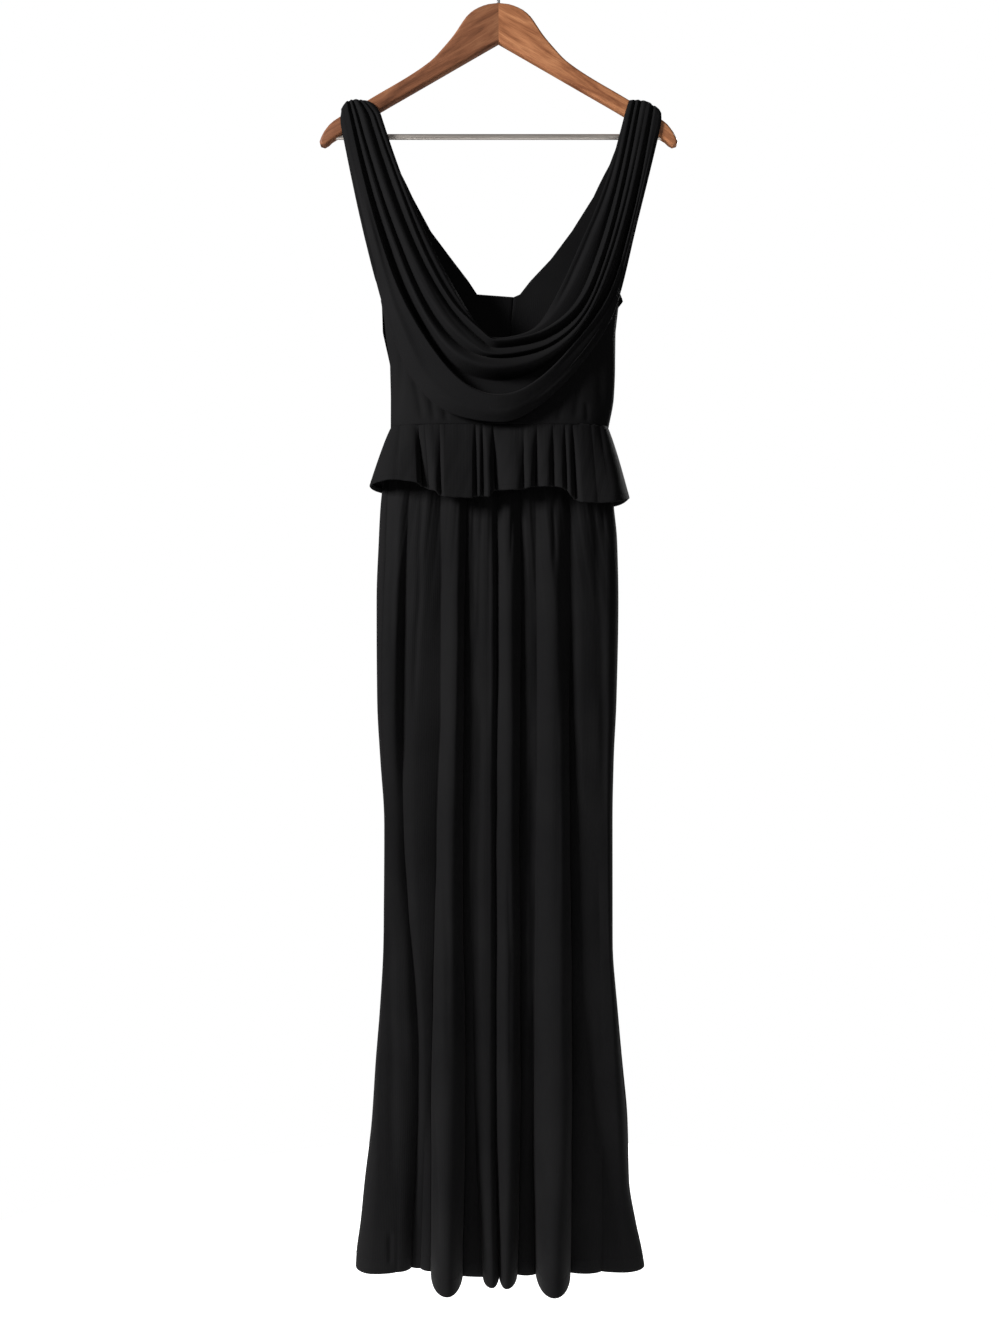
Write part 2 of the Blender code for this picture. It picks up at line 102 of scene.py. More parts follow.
BODICE_SIDES = tuple(Side(*row) for row in (
    (-600, 133.6, 136), (-560, 133.5, 143), (-520, 134.5, 144.5), (-490, 139, 144),
    (-462, 142, 146), (-440, 146, 150),
))
SKIRT_SIDES = tuple(Side(*row) for row in (
    (-1638, 177, 181), (-1620, 176, 178), (-1583, 171, 170), (-1533, 166, 162),
    (-1458, 157, 160), (-1384, 152, 153.5), (-1310, 146, 147), (-1235, 142, 141),
    (-1086, 141, 141), (-1011, 146, 142.5), (-937, 150, 146), (-812, 151, 148.5),
    (-740, 148.5, 147), (-693, 146, 142.5), (-600, 131.5, 134),
))


@dataclass(frozen=True)
class SkirtFold:
    """A ridge or valley of a skirt panel: its x and its distance out, from the waist to the hem."""

    x_waist: float
    x_hip: float
    x_knee: float
    x_calf: float
    x_hem: float
    waist: float
    hip: float
    knee: float
    calf: float
    hem: float


SKIRT_LEVELS = (WAIST_Z, -937.0, -1086.0, -1384.0, HEM_Z)
SKIRT_FRONT_FOLDS = tuple(SkirtFold(*row) for row in (
    (-134.5, -142, -137, -143.5, -152.5, 31, 31, 30, 29, 26),
    (-114, -128, -125, -119, -126, 36, 36, 33, 33, 20),
    (-105, -118.5, -116, -98, -107.5, 29, 27, 29, 25, 6),
    (-82, -97, -101, -89, -96, 35, 34, 34, 31, 10),
    (-71, -70, -75, -81, -83, 30, 30, 29, 30, 18),
    (-49, -52.5, -56, -61, -60.5, 37, 45, 46, 56, 87),
    (-37, -43, -44, -41, -43.5, 28, 28, 27, 28, 31),
    (-26, -31, -31, -30, -19, 34, 33, 32, 32, 34),
    (-10, -9.5, -10, -12, -8, 35, 36, 36, 38, 63),
    (-2, -3, -3, -3, 1, 30, 28, 28, 28, 27),
    (14.5, 14.5, 14, 12, 10, 37, 44, 44, 49, 66),
    (26, 27, 25, 27, 22.5, 29, 27, 27, 26, 27),
    (37, 38.5, 38.5, 36.5, 33.5, 34, 32, 32, 31, 29),
    (45, 46.5, 46, 42, 46, 32, 32, 32, 30, 25),
    (61, 72, 74, 73, 66, 37, 44, 47, 58, 90),
    (86, 87, 87, 90, 87.5, 27, 26, 26, 27, 21),
    (101.5, 103, 107, 112, 106.5, 34, 33, 33, 33, 24),
    (119, 120, 122, 125.5, 127, 33, 32.5, 32, 32.5, 18),
    (127, 132, 131.5, 141, 152, 32, 32, 31.5, 32.5, 22),
))
SKIRT_BACK_FOLDS = tuple(SkirtFold(*row) for row in (
    (-116, -122, -124, -130, -146, 27, 27, 27, 29, 34),
    (-98, -104, -108, -110, -118, 28, 20, 20, 17, 14),
    (-76, -82, -84, -82, -88, 31, 40, 38, 46, 58),
    (-55, -59, -60, -61, -61, 29, 23, 21, 20, 20),
    (-34, -33, -38, -35, -33, 31, 41, 43, 54, 74),
    (-12, -13, -16, -14, -9, 29, 21, 20, 19, 18),
    (9, 6, 8, 10, 17, 31, 38, 42, 50, 66),
    (27, 31, 30, 33, 41, 29, 22, 20, 20, 20),
    (52, 50, 54, 59, 68, 31, 42, 44, 56, 76),
    (76, 79, 80, 84, 93, 29, 22, 20, 18, 16),
    (99, 101, 106, 112, 121, 30, 34, 34, 38, 44),
    (114, 119, 122, 131, 146, 28, 25, 23, 21, 20),
))


@dataclass(frozen=True)
class Crease:
    """A soft trough down a panel: its ends, its depth and its half-width. A ridge has depth < 0."""

    x_top: float
    z_top: float
    x_end: float
    z_end: float
    depth: float
    width: float


SKIRT_FRONT_CREASES = tuple(Crease(*row) for row in (
    (70, -610, 68, -800, 2.4, 3.6), (-22, -640, -24, -900, 1.2, 4.0),
    (-128, -640, -131, -900, 1.6, 4.5), (-92, -640, -104, -980, 1.8, 4.0),
    (-29, -630, -31, -860, 2.0, 4.0), (19, -610, 15, -790, 1.8, 3.2),
    (-22, -900, -26, -1330, 1.4, 5.0), (77, -700, 72, -1250, 1.3, 6.0),
    (121, -690, 131, -1120, 1.6, 5.5), (-70, -1000, -58, -1420, 1.5, 5.0),
    (40, -980, 42, -1480, 1.6, 5.0), (-133, -1180, -128, -1560, 1.8, 6.5),
    (-131, -1588, -134, -1632, 2.2, 3.0), (108, -1290, 121, -1600, 2.0, 7.0),
    (148, -1240, 163, -1560, 1.5, 6.0), (-112, -1180, -108, -1420, -1.4, 6.0),
    (-79, -1420, -70, -1610, 1.7, 3.5), (13, -1120, 15, -1440, 1.2, 3.0),
    (82, -1340, 80, -1620, -1.5, 4.5), (-6, -720, -9, -1010, -1.2, 3.0),
))
SKIRT_BACK_CREASES = tuple(Crease(*row) for row in (
    (-104, -620, -112, -900, 2.2, 4.5), (-66, -610, -70, -830, 2.4, 4.0),
    (-44, -630, -46, -960, 1.8, 4.0), (-2, -610, 0, -870, 2.2, 4.0),
    (17, -620, 19, -780, 1.8, 3.5), (41, -620, 40, -930, 2.2, 4.5),
    (64, -610, 67, -850, 2.0, 4.0), (90, -640, 94, -1000, 1.8, 5.0),
    (-94, -1000, -99, -1380, 1.6, 6.0), (-24, -1100, -22, -1500, 1.5, 5.0),
    (70, -1050, 78, -1450, 1.6, 6.0), (131, -1150, 150, -1560, 1.8, 6.5),
    (-133, -1250, -150, -1580, 1.6, 6.0), (24, -1300, 30, -1610, 1.5, 5.0),
))


@dataclass(frozen=True)
class Flute:
    """A ridge or valley of the peplum: x at seam and hem, out at the hem, length below the seam."""

    x_seam: float
    x_hem: float
    out: float
    drop: float


PEPLUM_FRONT_FLUTES = tuple(Flute(*row) for row in (
    (-120, -122, 55, 69), (-104, -99, 58, 72), (-98, -93, 40, 75), (-90, -83, 50, 80),
    (-80, -75.5, 58, 83), (-71, -70, 51, 88), (-65, -64, 58, 90), (-33, -33, 57, 91),
    (-28, -27, 42, 88), (-23.5, -22.5, 55, 88), (-19.5, -18.5, 43, 88), (-14, -12, 60, 90),
    (-7, -4.5, 41, 81), (17, 21, 60, 82), (31, 30, 52, 80), (38, 37, 58, 78),
    (47, 44, 45, 76), (60, 58, 57, 77), (66, 65.5, 46, 76), (74, 76, 55, 79),
    (81, 82, 43, 81), (85, 86.5, 56, 88), (90, 93, 43, 92), (97, 102, 58, 96),
    (113, 119, 55, 96), (123, 136, 54, 96),
))
PEPLUM_BACK_FLUTES = tuple(Flute(*row) for row in (
    (-117, -127, 52, 74), (-98, -101, 42, 74), (-80, -84, 60, 80), (-62, -62, 42, 80),
    (-43, -46, 62, 86), (-22, -21, 43, 84), (-3, -4, 60, 86), (17, 19, 43, 84),
    (37, 41, 63, 88), (57, 58, 43, 86), (78, 84, 61, 90), (97, 101, 43, 90),
    (118, 130, 52, 92),
))


@dataclass(frozen=True)
class CowlFold:
    """A nested fold of the cowl: height and out at the centre, relief on each strap, half-widths.

    left and right are half-widths at each of COWL_STATIONS after the first, up to the shoulder.
    """

    z: float
    out: float
    strap_left: float
    strap_right: float
    left: tuple[float, ...]
    right: tuple[float, ...]


COWL_STATIONS = (0.0, 0.2, 0.4, 0.6, 0.8, 1.0)
COWL_FOLDS = (
    CowlFold(-494, 31, -0.5, 0.5, (21.5, 45.7, 78, 115, 151.5), (43, 68, 96, 131, 161)),
    CowlFold(-496, 36, 2.0, 3.4, (21.5, 49, 82.5, 118, 155.5), (47, 81, 110, 141, 165)),
    CowlFold(-498, 37, -0.8, -2.4, (21.3, 53, 87, 121, 159), (51, 94, 121, 145.5, 169)),
    CowlFold(-500, 45, 3.0, 2.2, (21.2, 57, 91, 124.5, 162), (55, 99, 126, 150, 172.5)),
    CowlFold(-507.5, 36, -3.8, -4.0, (22.5, 58, 94.5, 130, 166), (58, 102, 129.5, 153.5, 176)),
    CowlFold(-517, 49, 3.4, 3.2, (30, 66, 102, 138, 173), (60, 103, 131, 157, 181)),
    CowlFold(-521, 40, -3.0, 2.4, (41, 78, 111, 145, 179), (58, 102.5, 132.5, 159.5, 184)),
    CowlFold(-533.5, 56, 2.2, 3.0, (46, 82, 115, 149, 182), (56, 101, 134, 162, 187.5)),
    CowlFold(-547, 34, -3.8, -3.8, (51, 83, 118, 152.5, 185), (52, 93, 135, 165.5, 191)),
    CowlFold(-563, 34, -3.0, -3.4, (43, 80, 120, 155.5, 187), (43, 87, 136, 167, 193)),
    CowlFold(-571, 60, 3.0, 2.4, (40, 80, 122, 157, 189), (40, 86, 137, 168, 195.5)),
    CowlFold(-586, 58, 1.6, 1.6, (52, 95, 131, 163, 193.5), (40, 86, 139, 168.5, 200)),
    CowlFold(-599, 50, -1.0, -1.0, (66, 109, 140, 169, 198.5), (42, 92, 142, 170.5, 204)),
)


@dataclass(frozen=True)
class CowlCrease:
    """A smaller fold along the cowl: its place across the rows at three points, and its reach.

    Places count rows of COWL_FOLDS, at the left end, middle and right end of its reach, which
    runs from w_from to w_to with -1 the left shoulder and 1 the right one.
    """

    at_from: float
    at_middle: float
    at_to: float
    w_from: float
    w_to: float
    depth: float
    width: float


COWL_CREASES = tuple(CowlCrease(*row) for row in (
    (10.7, 10.9, 11.2, -0.86, -0.34, -2.6, 0.3), (11.6, 11.5, 11.9, -0.94, -0.42, 1.6, 0.26),
    (11.4, 11.7, 11.9, 0.14, 0.62, -2.2, 0.2), (10.4, 10.6, 10.9, 0.3, 0.86, 1.6, 0.26),
    (5.5, 5.4, 5.3, -0.7, -0.16, -1.4, 0.22), (4.7, 4.8, 4.9, -0.62, 0.1, 1.0, 0.18),
    (7.4, 7.5, 7.6, -0.45, 0.3, 1.5, 0.24), (5.4, 5.5, 5.6, 0.05, 0.52, 1.2, 0.2),
    (2.5, 2.6, 2.7, 0.3, 0.9, 1.1, 0.26), (0.5, 0.5, 0.45, 0.3, 0.98, 2.8, 0.22),
    (9.6, 9.7, 9.5, -0.96, -0.5, 1.2, 0.22), (6.5, 6.4, 6.6, -0.97, -0.56, -1.1, 0.25),
    (11.1, 11.3, 11.2, 0.55, 0.97, -1.6, 0.28), (9.6, 9.5, 9.7, 0.5, 0.96, 1.4, 0.26),
))


@dataclass(frozen=True)
class BackRow:
    """One height of the back: neck edge or centre seam, and armhole or side edge, each side."""

    z: float
    neck_left: float
    neck_right: float
    side_left: float
    side_right: float


BACK_ROWS = tuple(BackRow(*row) for row in (
    (-600, 5, 5, 133.6, 136), (-560, 8, 8, 133.5, 143), (-520, 11, 11, 134.5, 144.5),
    (-480, 14, 14, 143.5, 145), (-449, 17, 17, 144.5, 148.5), (-441, 18, 18, 145.5, 154.5),
    (-432, 18.5, 18.5, 147, 151), (-429, 19, 19, 147, 149.5), (-425.5, -27, 27, 148, 149),
    (-409, -38, 40, 150, 147.5), (-382, -59, 66, 156, 152), (-348, -85, 92, 164, 161),
    (-306, -108, 119, 175, 171), (-270, -129, 139, 184, 181), (-243, -143, 149, 190, 190),
    (-222, -150, 156, 194.5, 197), (-203, -155, 162, 197, 201),
))


def place_in_scene(name: str, data: bpy.types.ID) -> Piece:
    """Return a new object that holds the data, linked to the scene."""
    placed = bpy.data.objects.new(name, data)
    bpy.context.scene.collection.objects.link(placed)
    return placed


# ---- curves and grids -------------------------------------------------------------------
def smooth_curve(at: Values, knots: Sequence[float], values: Sequence[float]) -> Array:
    """Read a smooth curve that passes its knots without overshoot.

    Args:
        at: Places to read, clipped to the knots' span.
        knots: Places of the known values, in any order.
        values: The known values.

    Returns:
        The curve's values at those places.
    """
    order = np.argsort(knots)
    knots = np.asarray(knots, float)[order]
    values = np.asarray(values, float)[order]
    step = np.diff(knots)
    slope = np.diff(values) / step
    tangent = np.zeros(len(knots))
    tangent[0], tangent[-1] = slope[0], slope[-1]
    both = slope[:-1] * slope[1:]
    inner = both > 0
    total = np.where(inner, slope[:-1] + slope[1:], 1.0)
    tangent[1:-1] = np.where(inner, 2 * both / total, 0.0)
    at = np.clip(np.asarray(at, float), knots[0], knots[-1])
    k = np.clip(np.searchsorted(knots, at) - 1, 0, len(step) - 1)
    t = (at - knots[k]) / step[k]
    rise = values[k + 1] - values[k]
    return (values[k] + rise * t * t * (3 - 2 * t) + step[k] * tangent[k] * t * (1 - t) ** 2
            - step[k] * tangent[k + 1] * t * t * (1 - t))


def side_at(sides: Sequence[Side], z: Values, flank: Flank) -> Array:
    """Return the half-width on one flank at the given heights."""
    widths = [row.left if flank is Flank.LEFT else row.right for row in sides]
    return smooth_curve(z, [row.z for row in sides], widths)


def bodice_half(x: Array, z: Array) -> Array:
    """Return the bodice's half-width at each height, on the flank that x lies on."""
    return np.where(x < 0, side_at(BODICE_SIDES, z, Flank.LEFT), side_at(BODICE_SIDES, z, Flank.RIGHT))


def roundness(s: Values) -> Array:
    """Return 1 over the middle of a panel, falling to 0 where it turns into its side seam."""
    return np.sqrt(np.clip(1 - np.minimum(np.abs(s), 1.0) ** 4, 0, None))


def smoothstep(value: Values, low: float, high: float) -> Array:
    """Return a soft step from 0 at low to 1 at high."""
    t = np.clip((np.asarray(value, float) - low) / (high - low), 0, 1)
    return t * t * (3 - 2 * t)


def wander(at: Values, seed: float, wavelength: float) -> Array:
    """Return an uneven but repeatable wave between about -1 and 1.

    Args:
        at: Places along the wave, in millimetres.
        seed: Any number, which picks one of many waves.
        wavelength: Length of its longest swing.

    Returns:
        The wave's value at each place.
    """
    turn = 2 * math.pi * np.asarray(at, float) / wavelength
    return (0.55 * np.sin(turn + 1.7 * seed) + 0.3 * np.sin(2.31 * turn + 3.1 * seed)
            + 0.15 * np.sin(4.73 * turn + 5.3 * seed))


def unit_normals(grid: Array) -> Array:
    """Return the unit normal at each point of a grid of rows running down and columns across."""
    normal = np.cross(np.gradient(grid, axis=0), np.gradient(grid, axis=1))
    return normal / np.maximum(np.linalg.norm(normal, axis=2, keepdims=True), 1e-9)


def outward(grid: Array, facing: Facing) -> Array:
    """Return a grid's unit normals, turned to point out of the dress."""
    normal = unit_normals(grid)
    if normal[..., 1].mean() * facing.value < 0:
        normal = -normal
    return normal


def turned_edge(grid: Array, facing: Facing, radius: float, depth: float) -> Array:
    """Add rows that turn a grid's last row under, as a narrow hem.

    Args:
        grid: Points in rows, whose last row is the edge.
        facing: Which way the panel faces.
        radius: Radius of the turn.
        depth: How far the turned-under cloth reaches back from the edge.

    Returns:
        The grid with the hem's rows added.
    """
    edge = grid[-1]
    back = grid[-3] - edge
    back /= np.maximum(np.linalg.norm(back, axis=1, keepdims=True), 1e-9)
    inward = -outward(grid, facing)[-2]
    rows = []
    for angle in np.linspace(math.pi / 5, math.pi, 5):
        rows.append(edge - back * radius * math.sin(angle) + inward * radius * (1 - math.cos(angle)))
    for reach in (0.3, 0.65, 1.0):
        rows.append(edge + back * depth * reach + inward * 2 * radius)
    return np.concatenate([grid, np.array(rows)])


def grain_map(grid: Array) -> Array:
    """Return map coordinates in metres that follow the cloth's own length and width."""
    across = np.linalg.norm(np.diff(grid, axis=1), axis=2)
    down = np.linalg.norm(np.diff(grid, axis=0), axis=2)
    u, v = (np.concatenate([[0.0], np.cumsum(steps)]) for steps in (across.mean(axis=0), down.mean(axis=1)))
    return np.stack(np.meshgrid(u, v), axis=2) * MM


def cloth_shell(name: str, grid: Array, facing: Facing) -> Piece:
    """Build a closed, thin cloth shell round a grid of points.

    Args:
        name: The piece's name.
        grid: Points in millimetres, in rows and columns.
        facing: Which way the panel faces.

    Returns:
        The linked object, smooth shaded, with a grain map.
    """
    normal = outward(grid, facing)
    across_down = np.cross(np.gradient(grid, axis=1), np.gradient(grid, axis=0))
    flipped = (across_down * normal).sum() > 0
    rows, columns = grid.shape[:2]
    count = rows * columns
    points = np.concatenate([(grid + normal * WALL / 2).reshape(-1, 3),
                             (grid - normal * WALL / 2).reshape(-1, 3)]) * MM
    index = np.arange(count).reshape(rows, columns)
    a, b = index[:-1, :-1].ravel(), index[:-1, 1:].ravel()
    d, e = index[1:, :-1].ravel(), index[1:, 1:].ravel()
    outer = np.stack([a, d, e, b], axis=1)
    inner = np.stack([a, b, e, d], axis=1) + count
    loop = np.concatenate([index[0], index[1:, -1], index[-1, -2::-1], index[-2:0:-1, 0]])
    after = np.roll(loop, -1)
    rim = np.stack([loop, after, after + count, loop + count], axis=1)
    faces = np.concatenate([outer, inner, rim])
    if flipped:
        faces = faces[:, ::-1]
    mesh = bpy.data.meshes.new(name)
    mesh.from_pydata(points.tolist(), [], faces.tolist())
    grain = np.tile(grain_map(grid).reshape(-1, 2), (2, 1))
    corners = np.empty(len(mesh.loops), int)
    mesh.loops.foreach_get("vertex_index", corners)
    mesh.uv_layers.new(name="grain").data.foreach_set("uv", grain[corners].ravel())
    mesh.shade_smooth()
    return place_in_scene(name, mesh)


def seam_turn(seam_x: float, knot: tuple[float, float], part: Array) -> Array:
    """Return x and out of a quarter turn from a side seam to the nearest knot.

    Args:
        seam_x: x of the seam.
        knot: x and out of the ridge or valley next to it.
        part: Places on the turn, from 0 at the seam to 1 at the knot.

    Returns:
        Rows of x and out.
    """
    turn = math.pi / 2 * part
    return np.stack([seam_x + (knot[0] - seam_x) * (1 - np.cos(turn)), knot[1] * np.sin(turn)], axis=1)


def folded_section(left: float, right: float, knots: Sequence[tuple[float, float]], steepness: float,
                   crest: float, steps: int) -> Array:
    """Lay out one level of a folded panel from its left seam to its right seam.

    Args:
        left: x of the left seam.
        right: x of the right seam.
        knots: x and out of each ridge and valley in turn.
        steepness: 1 for evenly sloping walls, over 1 to stand them up beside the valleys.
        crest: Under 1 for broad ridges and narrow valleys, over 1 for the opposite.
        steps: Points in each span between two knots.

    Returns:
        Rows of x and out.
    """
    t = np.arange(steps) / steps
    spans = [seam_turn(left, knots[0], t)]
    for (x0, out0), (x1, out1) in zip(knots, knots[1:]):
        rising = out1 > out0
        climb = 0.5 - 0.5 * np.cos(math.pi * (t if rising else 1 - t))
        upright = 1 + (steepness - 1) * min(1.0, abs(out1 - out0) / TALL_FOLD)
        along = t ** upright if rising else 1 - (1 - t) ** upright
        low, high = min(out0, out1), max(out0, out1)
        spans.append(np.stack([x0 + (x1 - x0) * along, low + (high - low) * climb ** crest], axis=1))
    spans.append(seam_turn(right, knots[-1], 1 - np.arange(steps + 1) / steps))
    return np.concatenate(spans)


def press_creases(grid: Array, facing: Facing, creases: Sequence[Crease]) -> Array:
    """Press soft troughs and ridges into a panel along its normals.

    Args:
        grid: The panel's points.
        facing: Which way the panel faces.
        creases: The creases to press in.

    Returns:
        The creased grid.
    """
    normal = outward(grid, facing)
    x, z = grid[..., 0], grid[..., 2]
    push = np.zeros(x.shape)
    for number, crease in enumerate(creases):
        along = (crease.z_top - z) / (crease.z_top - crease.z_end)
        route = crease.x_top + (crease.x_end - crease.x_top) * along + 1.5 * wander(z, number + 2, 260)
        fade = smoothstep(along, 0.0, 0.18) * (1 - smoothstep(along, 0.7, 1.0))
        push -= crease.depth * fade * np.exp(-((x - route) / crease.width) ** 2)
    return grid + normal * push[..., None]


# ---- finishes ---------------------------------------------------------------------------
class NodeTree:
    """A shader node tree, with short ways to add and join nodes."""

    def __init__(self, tree: bpy.types.NodeTree) -> None:
        """Take the tree to work in."""
        self.tree = tree

    def add(self, kind: str, **settings: object) -> bpy.types.Node:
        """Add a node.

        Args:
            kind: The node's type name, without its ShaderNode prefix.
            settings: Properties to set, or socket defaults where the name is a socket's with
                its spaces as underscores.

        Returns:
            The new node.
        """
        node = self.tree.nodes.new("ShaderNode" + kind)
        for key, value in settings.items():
            socket = key.replace("_", " ")
            if socket in node.inputs:
                node.inputs[socket].default_value = value
            else:
                setattr(node, key, value)
        return node

    def join(self, source: Socket, target: Socket) -> None:
        """Link two sockets."""
        self.tree.links.new(source, target)

    def weigh(self, value: Socket, weight: float, base: Socket) -> Socket:
        """Add a weighted value to a base.

        Args:
            value: The socket to weight.
            weight: Its weight.
            base: The socket to add it to.

        Returns:
            The sum.
        """
        node = self.add("Math", operation="MULTIPLY_ADD")
        node.inputs[1].default_value = weight
        self.join(value, node.inputs[0])
        self.join(base, node.inputs[2])
        return node.outputs["Value"]


class NodeSheet(NodeTree):
    """A material's node tree, with short ways to drive its Principled shader."""

    def __init__(self, name: str) -> None:
        """Start a material that has only its Principled shader."""
        self.material = bpy.data.materials.new(name)
        self.material.use_nodes = True
        super().__init__(self.material.node_tree)
        self.shader = self.tree.nodes["Principled BSDF"]

    def feed(self, name: str, source: Socket) -> None:
        """Drive one of the shader's sockets."""
        self.join(source, self.shader.inputs[name])

    def place(self) -> Socket:
        """Return the piece's own coordinates."""
        return self.add("TexCoord").outputs["Object"]

    def mapped(self, source: Socket, **settings: object) -> Socket:
        """Return coordinates, turned or scaled."""
        node = self.add("Mapping", **settings)
        self.join(source, node.inputs["Vector"])
        return node.outputs["Vector"]

    def texture(self, kind: str, source: Socket, **settings: object) -> Socket:
        """Return the value of a procedural texture."""
        node = self.add("Tex" + kind, **settings)
        self.join(source, node.inputs["Vector"])
        return node.outputs["Fac"]

    def roughen(self, factor: Socket, smooth: float, rough: float) -> None:
        """Vary the roughness with a factor."""
        node = self.add("MapRange", To_Min=smooth, To_Max=rough)
        self.join(factor, node.inputs["Value"])
        self.feed("Roughness", node.outputs["Result"])

    def emboss(self, height: Socket, strength: float, depth: float) -> None:
        """Raise the surface with a height."""
        node = self.add("Bump", Strength=strength, Distance=depth)
        self.join(height, node.inputs["Height"])
        self.feed("Normal", node.outputs["Normal"])

    def ramp(self, factor: Socket, stops: Sequence[tuple[float, tuple[float, ...]]]) -> Socket:
        """Add a colour ramp.

        Args:
            factor: The socket that drives it.
            stops: Position and colour of each stop.

        Returns:
            Its colour output.
        """
        node = self.add("ValToRGB")
        elements = node.color_ramp.elements
        while len(elements) < len(stops):
            elements.new(0.5)
        for element, (place, colour) in zip(elements, stops):
            element.position = place
            element.color = (*colour, 1.0)
        self.join(factor, node.inputs["Fac"])
        return node.outputs["Color"]

    def constants(self, **values: float | tuple[float, ...]) -> None:
        """Set sockets of the shader that are the same all over the surface."""
        for key, value in values.items():
            self.shader.inputs[key.replace("_", " ")].default_value = value


@dataclass(frozen=True)
class Jersey:
    """Fine black knit with a faint bloom, worked from the cloth's own grain map."""

    name: str = "black_jersey"
    dark: tuple[float, float, float] = (0.0054, 0.0053, 0.0057)
    light: tuple[float, float, float] = (0.0084, 0.0082, 0.0085)
    wales_per_metre: float = 1150.0
    courses_per_metre: float = 1500.0
    knit_depth: float = 0.00012

    def build(self) -> Material:
        """Return the jersey as a material."""
        sheet = NodeSheet(self.name)
        place = sheet.place()
        cloudy = sheet.texture("Noise", place, Scale=9.0, Detail=4.0, Roughness=0.55)
        sheet.feed("Base Color", sheet.ramp(cloudy, ((0.3, self.dark), (0.72, self.light))))
        grain = sheet.add("UVMap", uv_map="grain").outputs["UV"]
        wales, courses = (
            sheet.texture("Wave", sheet.mapped(grain, Scale=per_metre), bands_direction="DIAGONAL",
                          Scale=0.314, Distortion=0.6, Detail=1.0)
            for per_metre in ((self.wales_per_metre, 0.0, 0.0), (0.0, self.courses_per_metre, 0.0)))
        slub = sheet.texture("Noise", place, Scale=520.0, Detail=3.0)
        sheet.emboss(sheet.weigh(slub, 0.9, sheet.weigh(courses, 0.6, wales)), 0.55, self.knit_depth)
        sheet.roughen(cloudy, 0.72, 0.9)
        sheet.constants(Specular_IOR_Level=0.05, Sheen_Weight=0.025, Sheen_Roughness=0.4,
                        Sheen_Tint=(0.55, 0.53, 0.52, 1.0))
        return sheet.material


@dataclass(frozen=True)
class Timber:
    """Varnished wood whose grain runs along a hanger arm."""

    name: str
    dark: tuple[float, float, float]
    middle: tuple[float, float, float]
    light: tuple[float, float, float]
    slope_degrees: float

    def build(self) -> Material:
        """Return the wood as a material."""
        sheet = NodeSheet(self.name)
        along = sheet.mapped(sheet.place(), Rotation=(0.0, math.radians(self.slope_degrees), 0.0))
        figure = sheet.texture("Noise", sheet.mapped(along, Scale=(9.0, 55.0, 75.0)),
                               Scale=1.3, Detail=7.0, Roughness=0.62, Distortion=0.8)
        pores = sheet.texture("Noise", sheet.mapped(along, Scale=(60.0, 900.0, 1300.0)),
                              Scale=1.0, Detail=3.0)
        mixed = sheet.add("Mix", data_type="RGBA", blend_type="MULTIPLY", Factor=0.45)
        sheet.join(sheet.ramp(figure, ((0.33, self.dark), (0.5, self.middle), (0.68, self.light))),
                   mixed.inputs["A"])
        sheet.join(sheet.ramp(pores, ((0.36, (0.45, 0.40, 0.36)), (0.52, (1.0, 1.0, 1.0)))),
                   mixed.inputs["B"])
        sheet.feed("Base Color", mixed.outputs["Result"])
        sheet.emboss(pores, 0.25, 0.0002)
        sheet.roughen(figure, 0.42, 0.6)
        sheet.constants(Coat_Weight=0.04, Coat_Roughness=0.4, Specular_IOR_Level=0.22)
        return sheet.material


@dataclass(frozen=True)
class Steel:
    """Steel with fine drawing marks along X."""

    name: str
    dark: tuple[float, float, float]
    light: tuple[float, float, float]
    smooth: float
    rough: float

    def build(self) -> Material:
        """Return the steel as a material."""
        sheet = NodeSheet(self.name)
        marks = sheet.texture("Noise", sheet.mapped(sheet.place(), Scale=(14.0, 900.0, 900.0)),
                              Scale=1.0, Detail=5.0, Roughness=0.6)
        sheet.feed("Base Color", sheet.ramp(marks, ((0.3, self.dark), (0.7, self.light))))
        sheet.roughen(marks, self.smooth, self.rough)
        sheet.emboss(marks, 0.15, 0.00005)
        sheet.constants(Metallic=1.0)
        return sheet.material


@dataclass(frozen=True)
class Thread:
    """Twisted black sewing thread."""

    name: str = "black_thread"
    colour: tuple[float, float, float] = (0.0065, 0.0064, 0.0067)

    def build(self) -> Material:
        """Return the thread as a material."""
        sheet = NodeSheet(self.name)
        twist = sheet.texture("Wave", sheet.place(), Scale=900.0, Distortion=1.0)
        brighter = tuple(1.5 * part for part in self.colour)
        sheet.feed("Base Color", sheet.ramp(twist, ((0.2, self.colour), (0.8, brighter))))
        sheet.constants(Roughness=0.8, Specular_IOR_Level=0.05, Sheen_Weight=0.03)
        return sheet.material


@dataclass(frozen=True)
class Plaster:
    """The plain pale floor."""

    name: str = "pale_stage"
    colour: tuple[float, float, float] = (0.93, 0.93, 0.93)
    glow: float = 0.75

    def build(self) -> Material:
        """Return the floor's finish as a material."""
        sheet = NodeSheet(self.name)
        sheet.constants(Base_Color=(*self.colour, 1.0), Roughness=0.95, Specular_IOR_Level=0.1,
                        Emission_Color=(1.0, 1.0, 1.0, 1.0), Emission_Strength=self.glow)
        return sheet.material


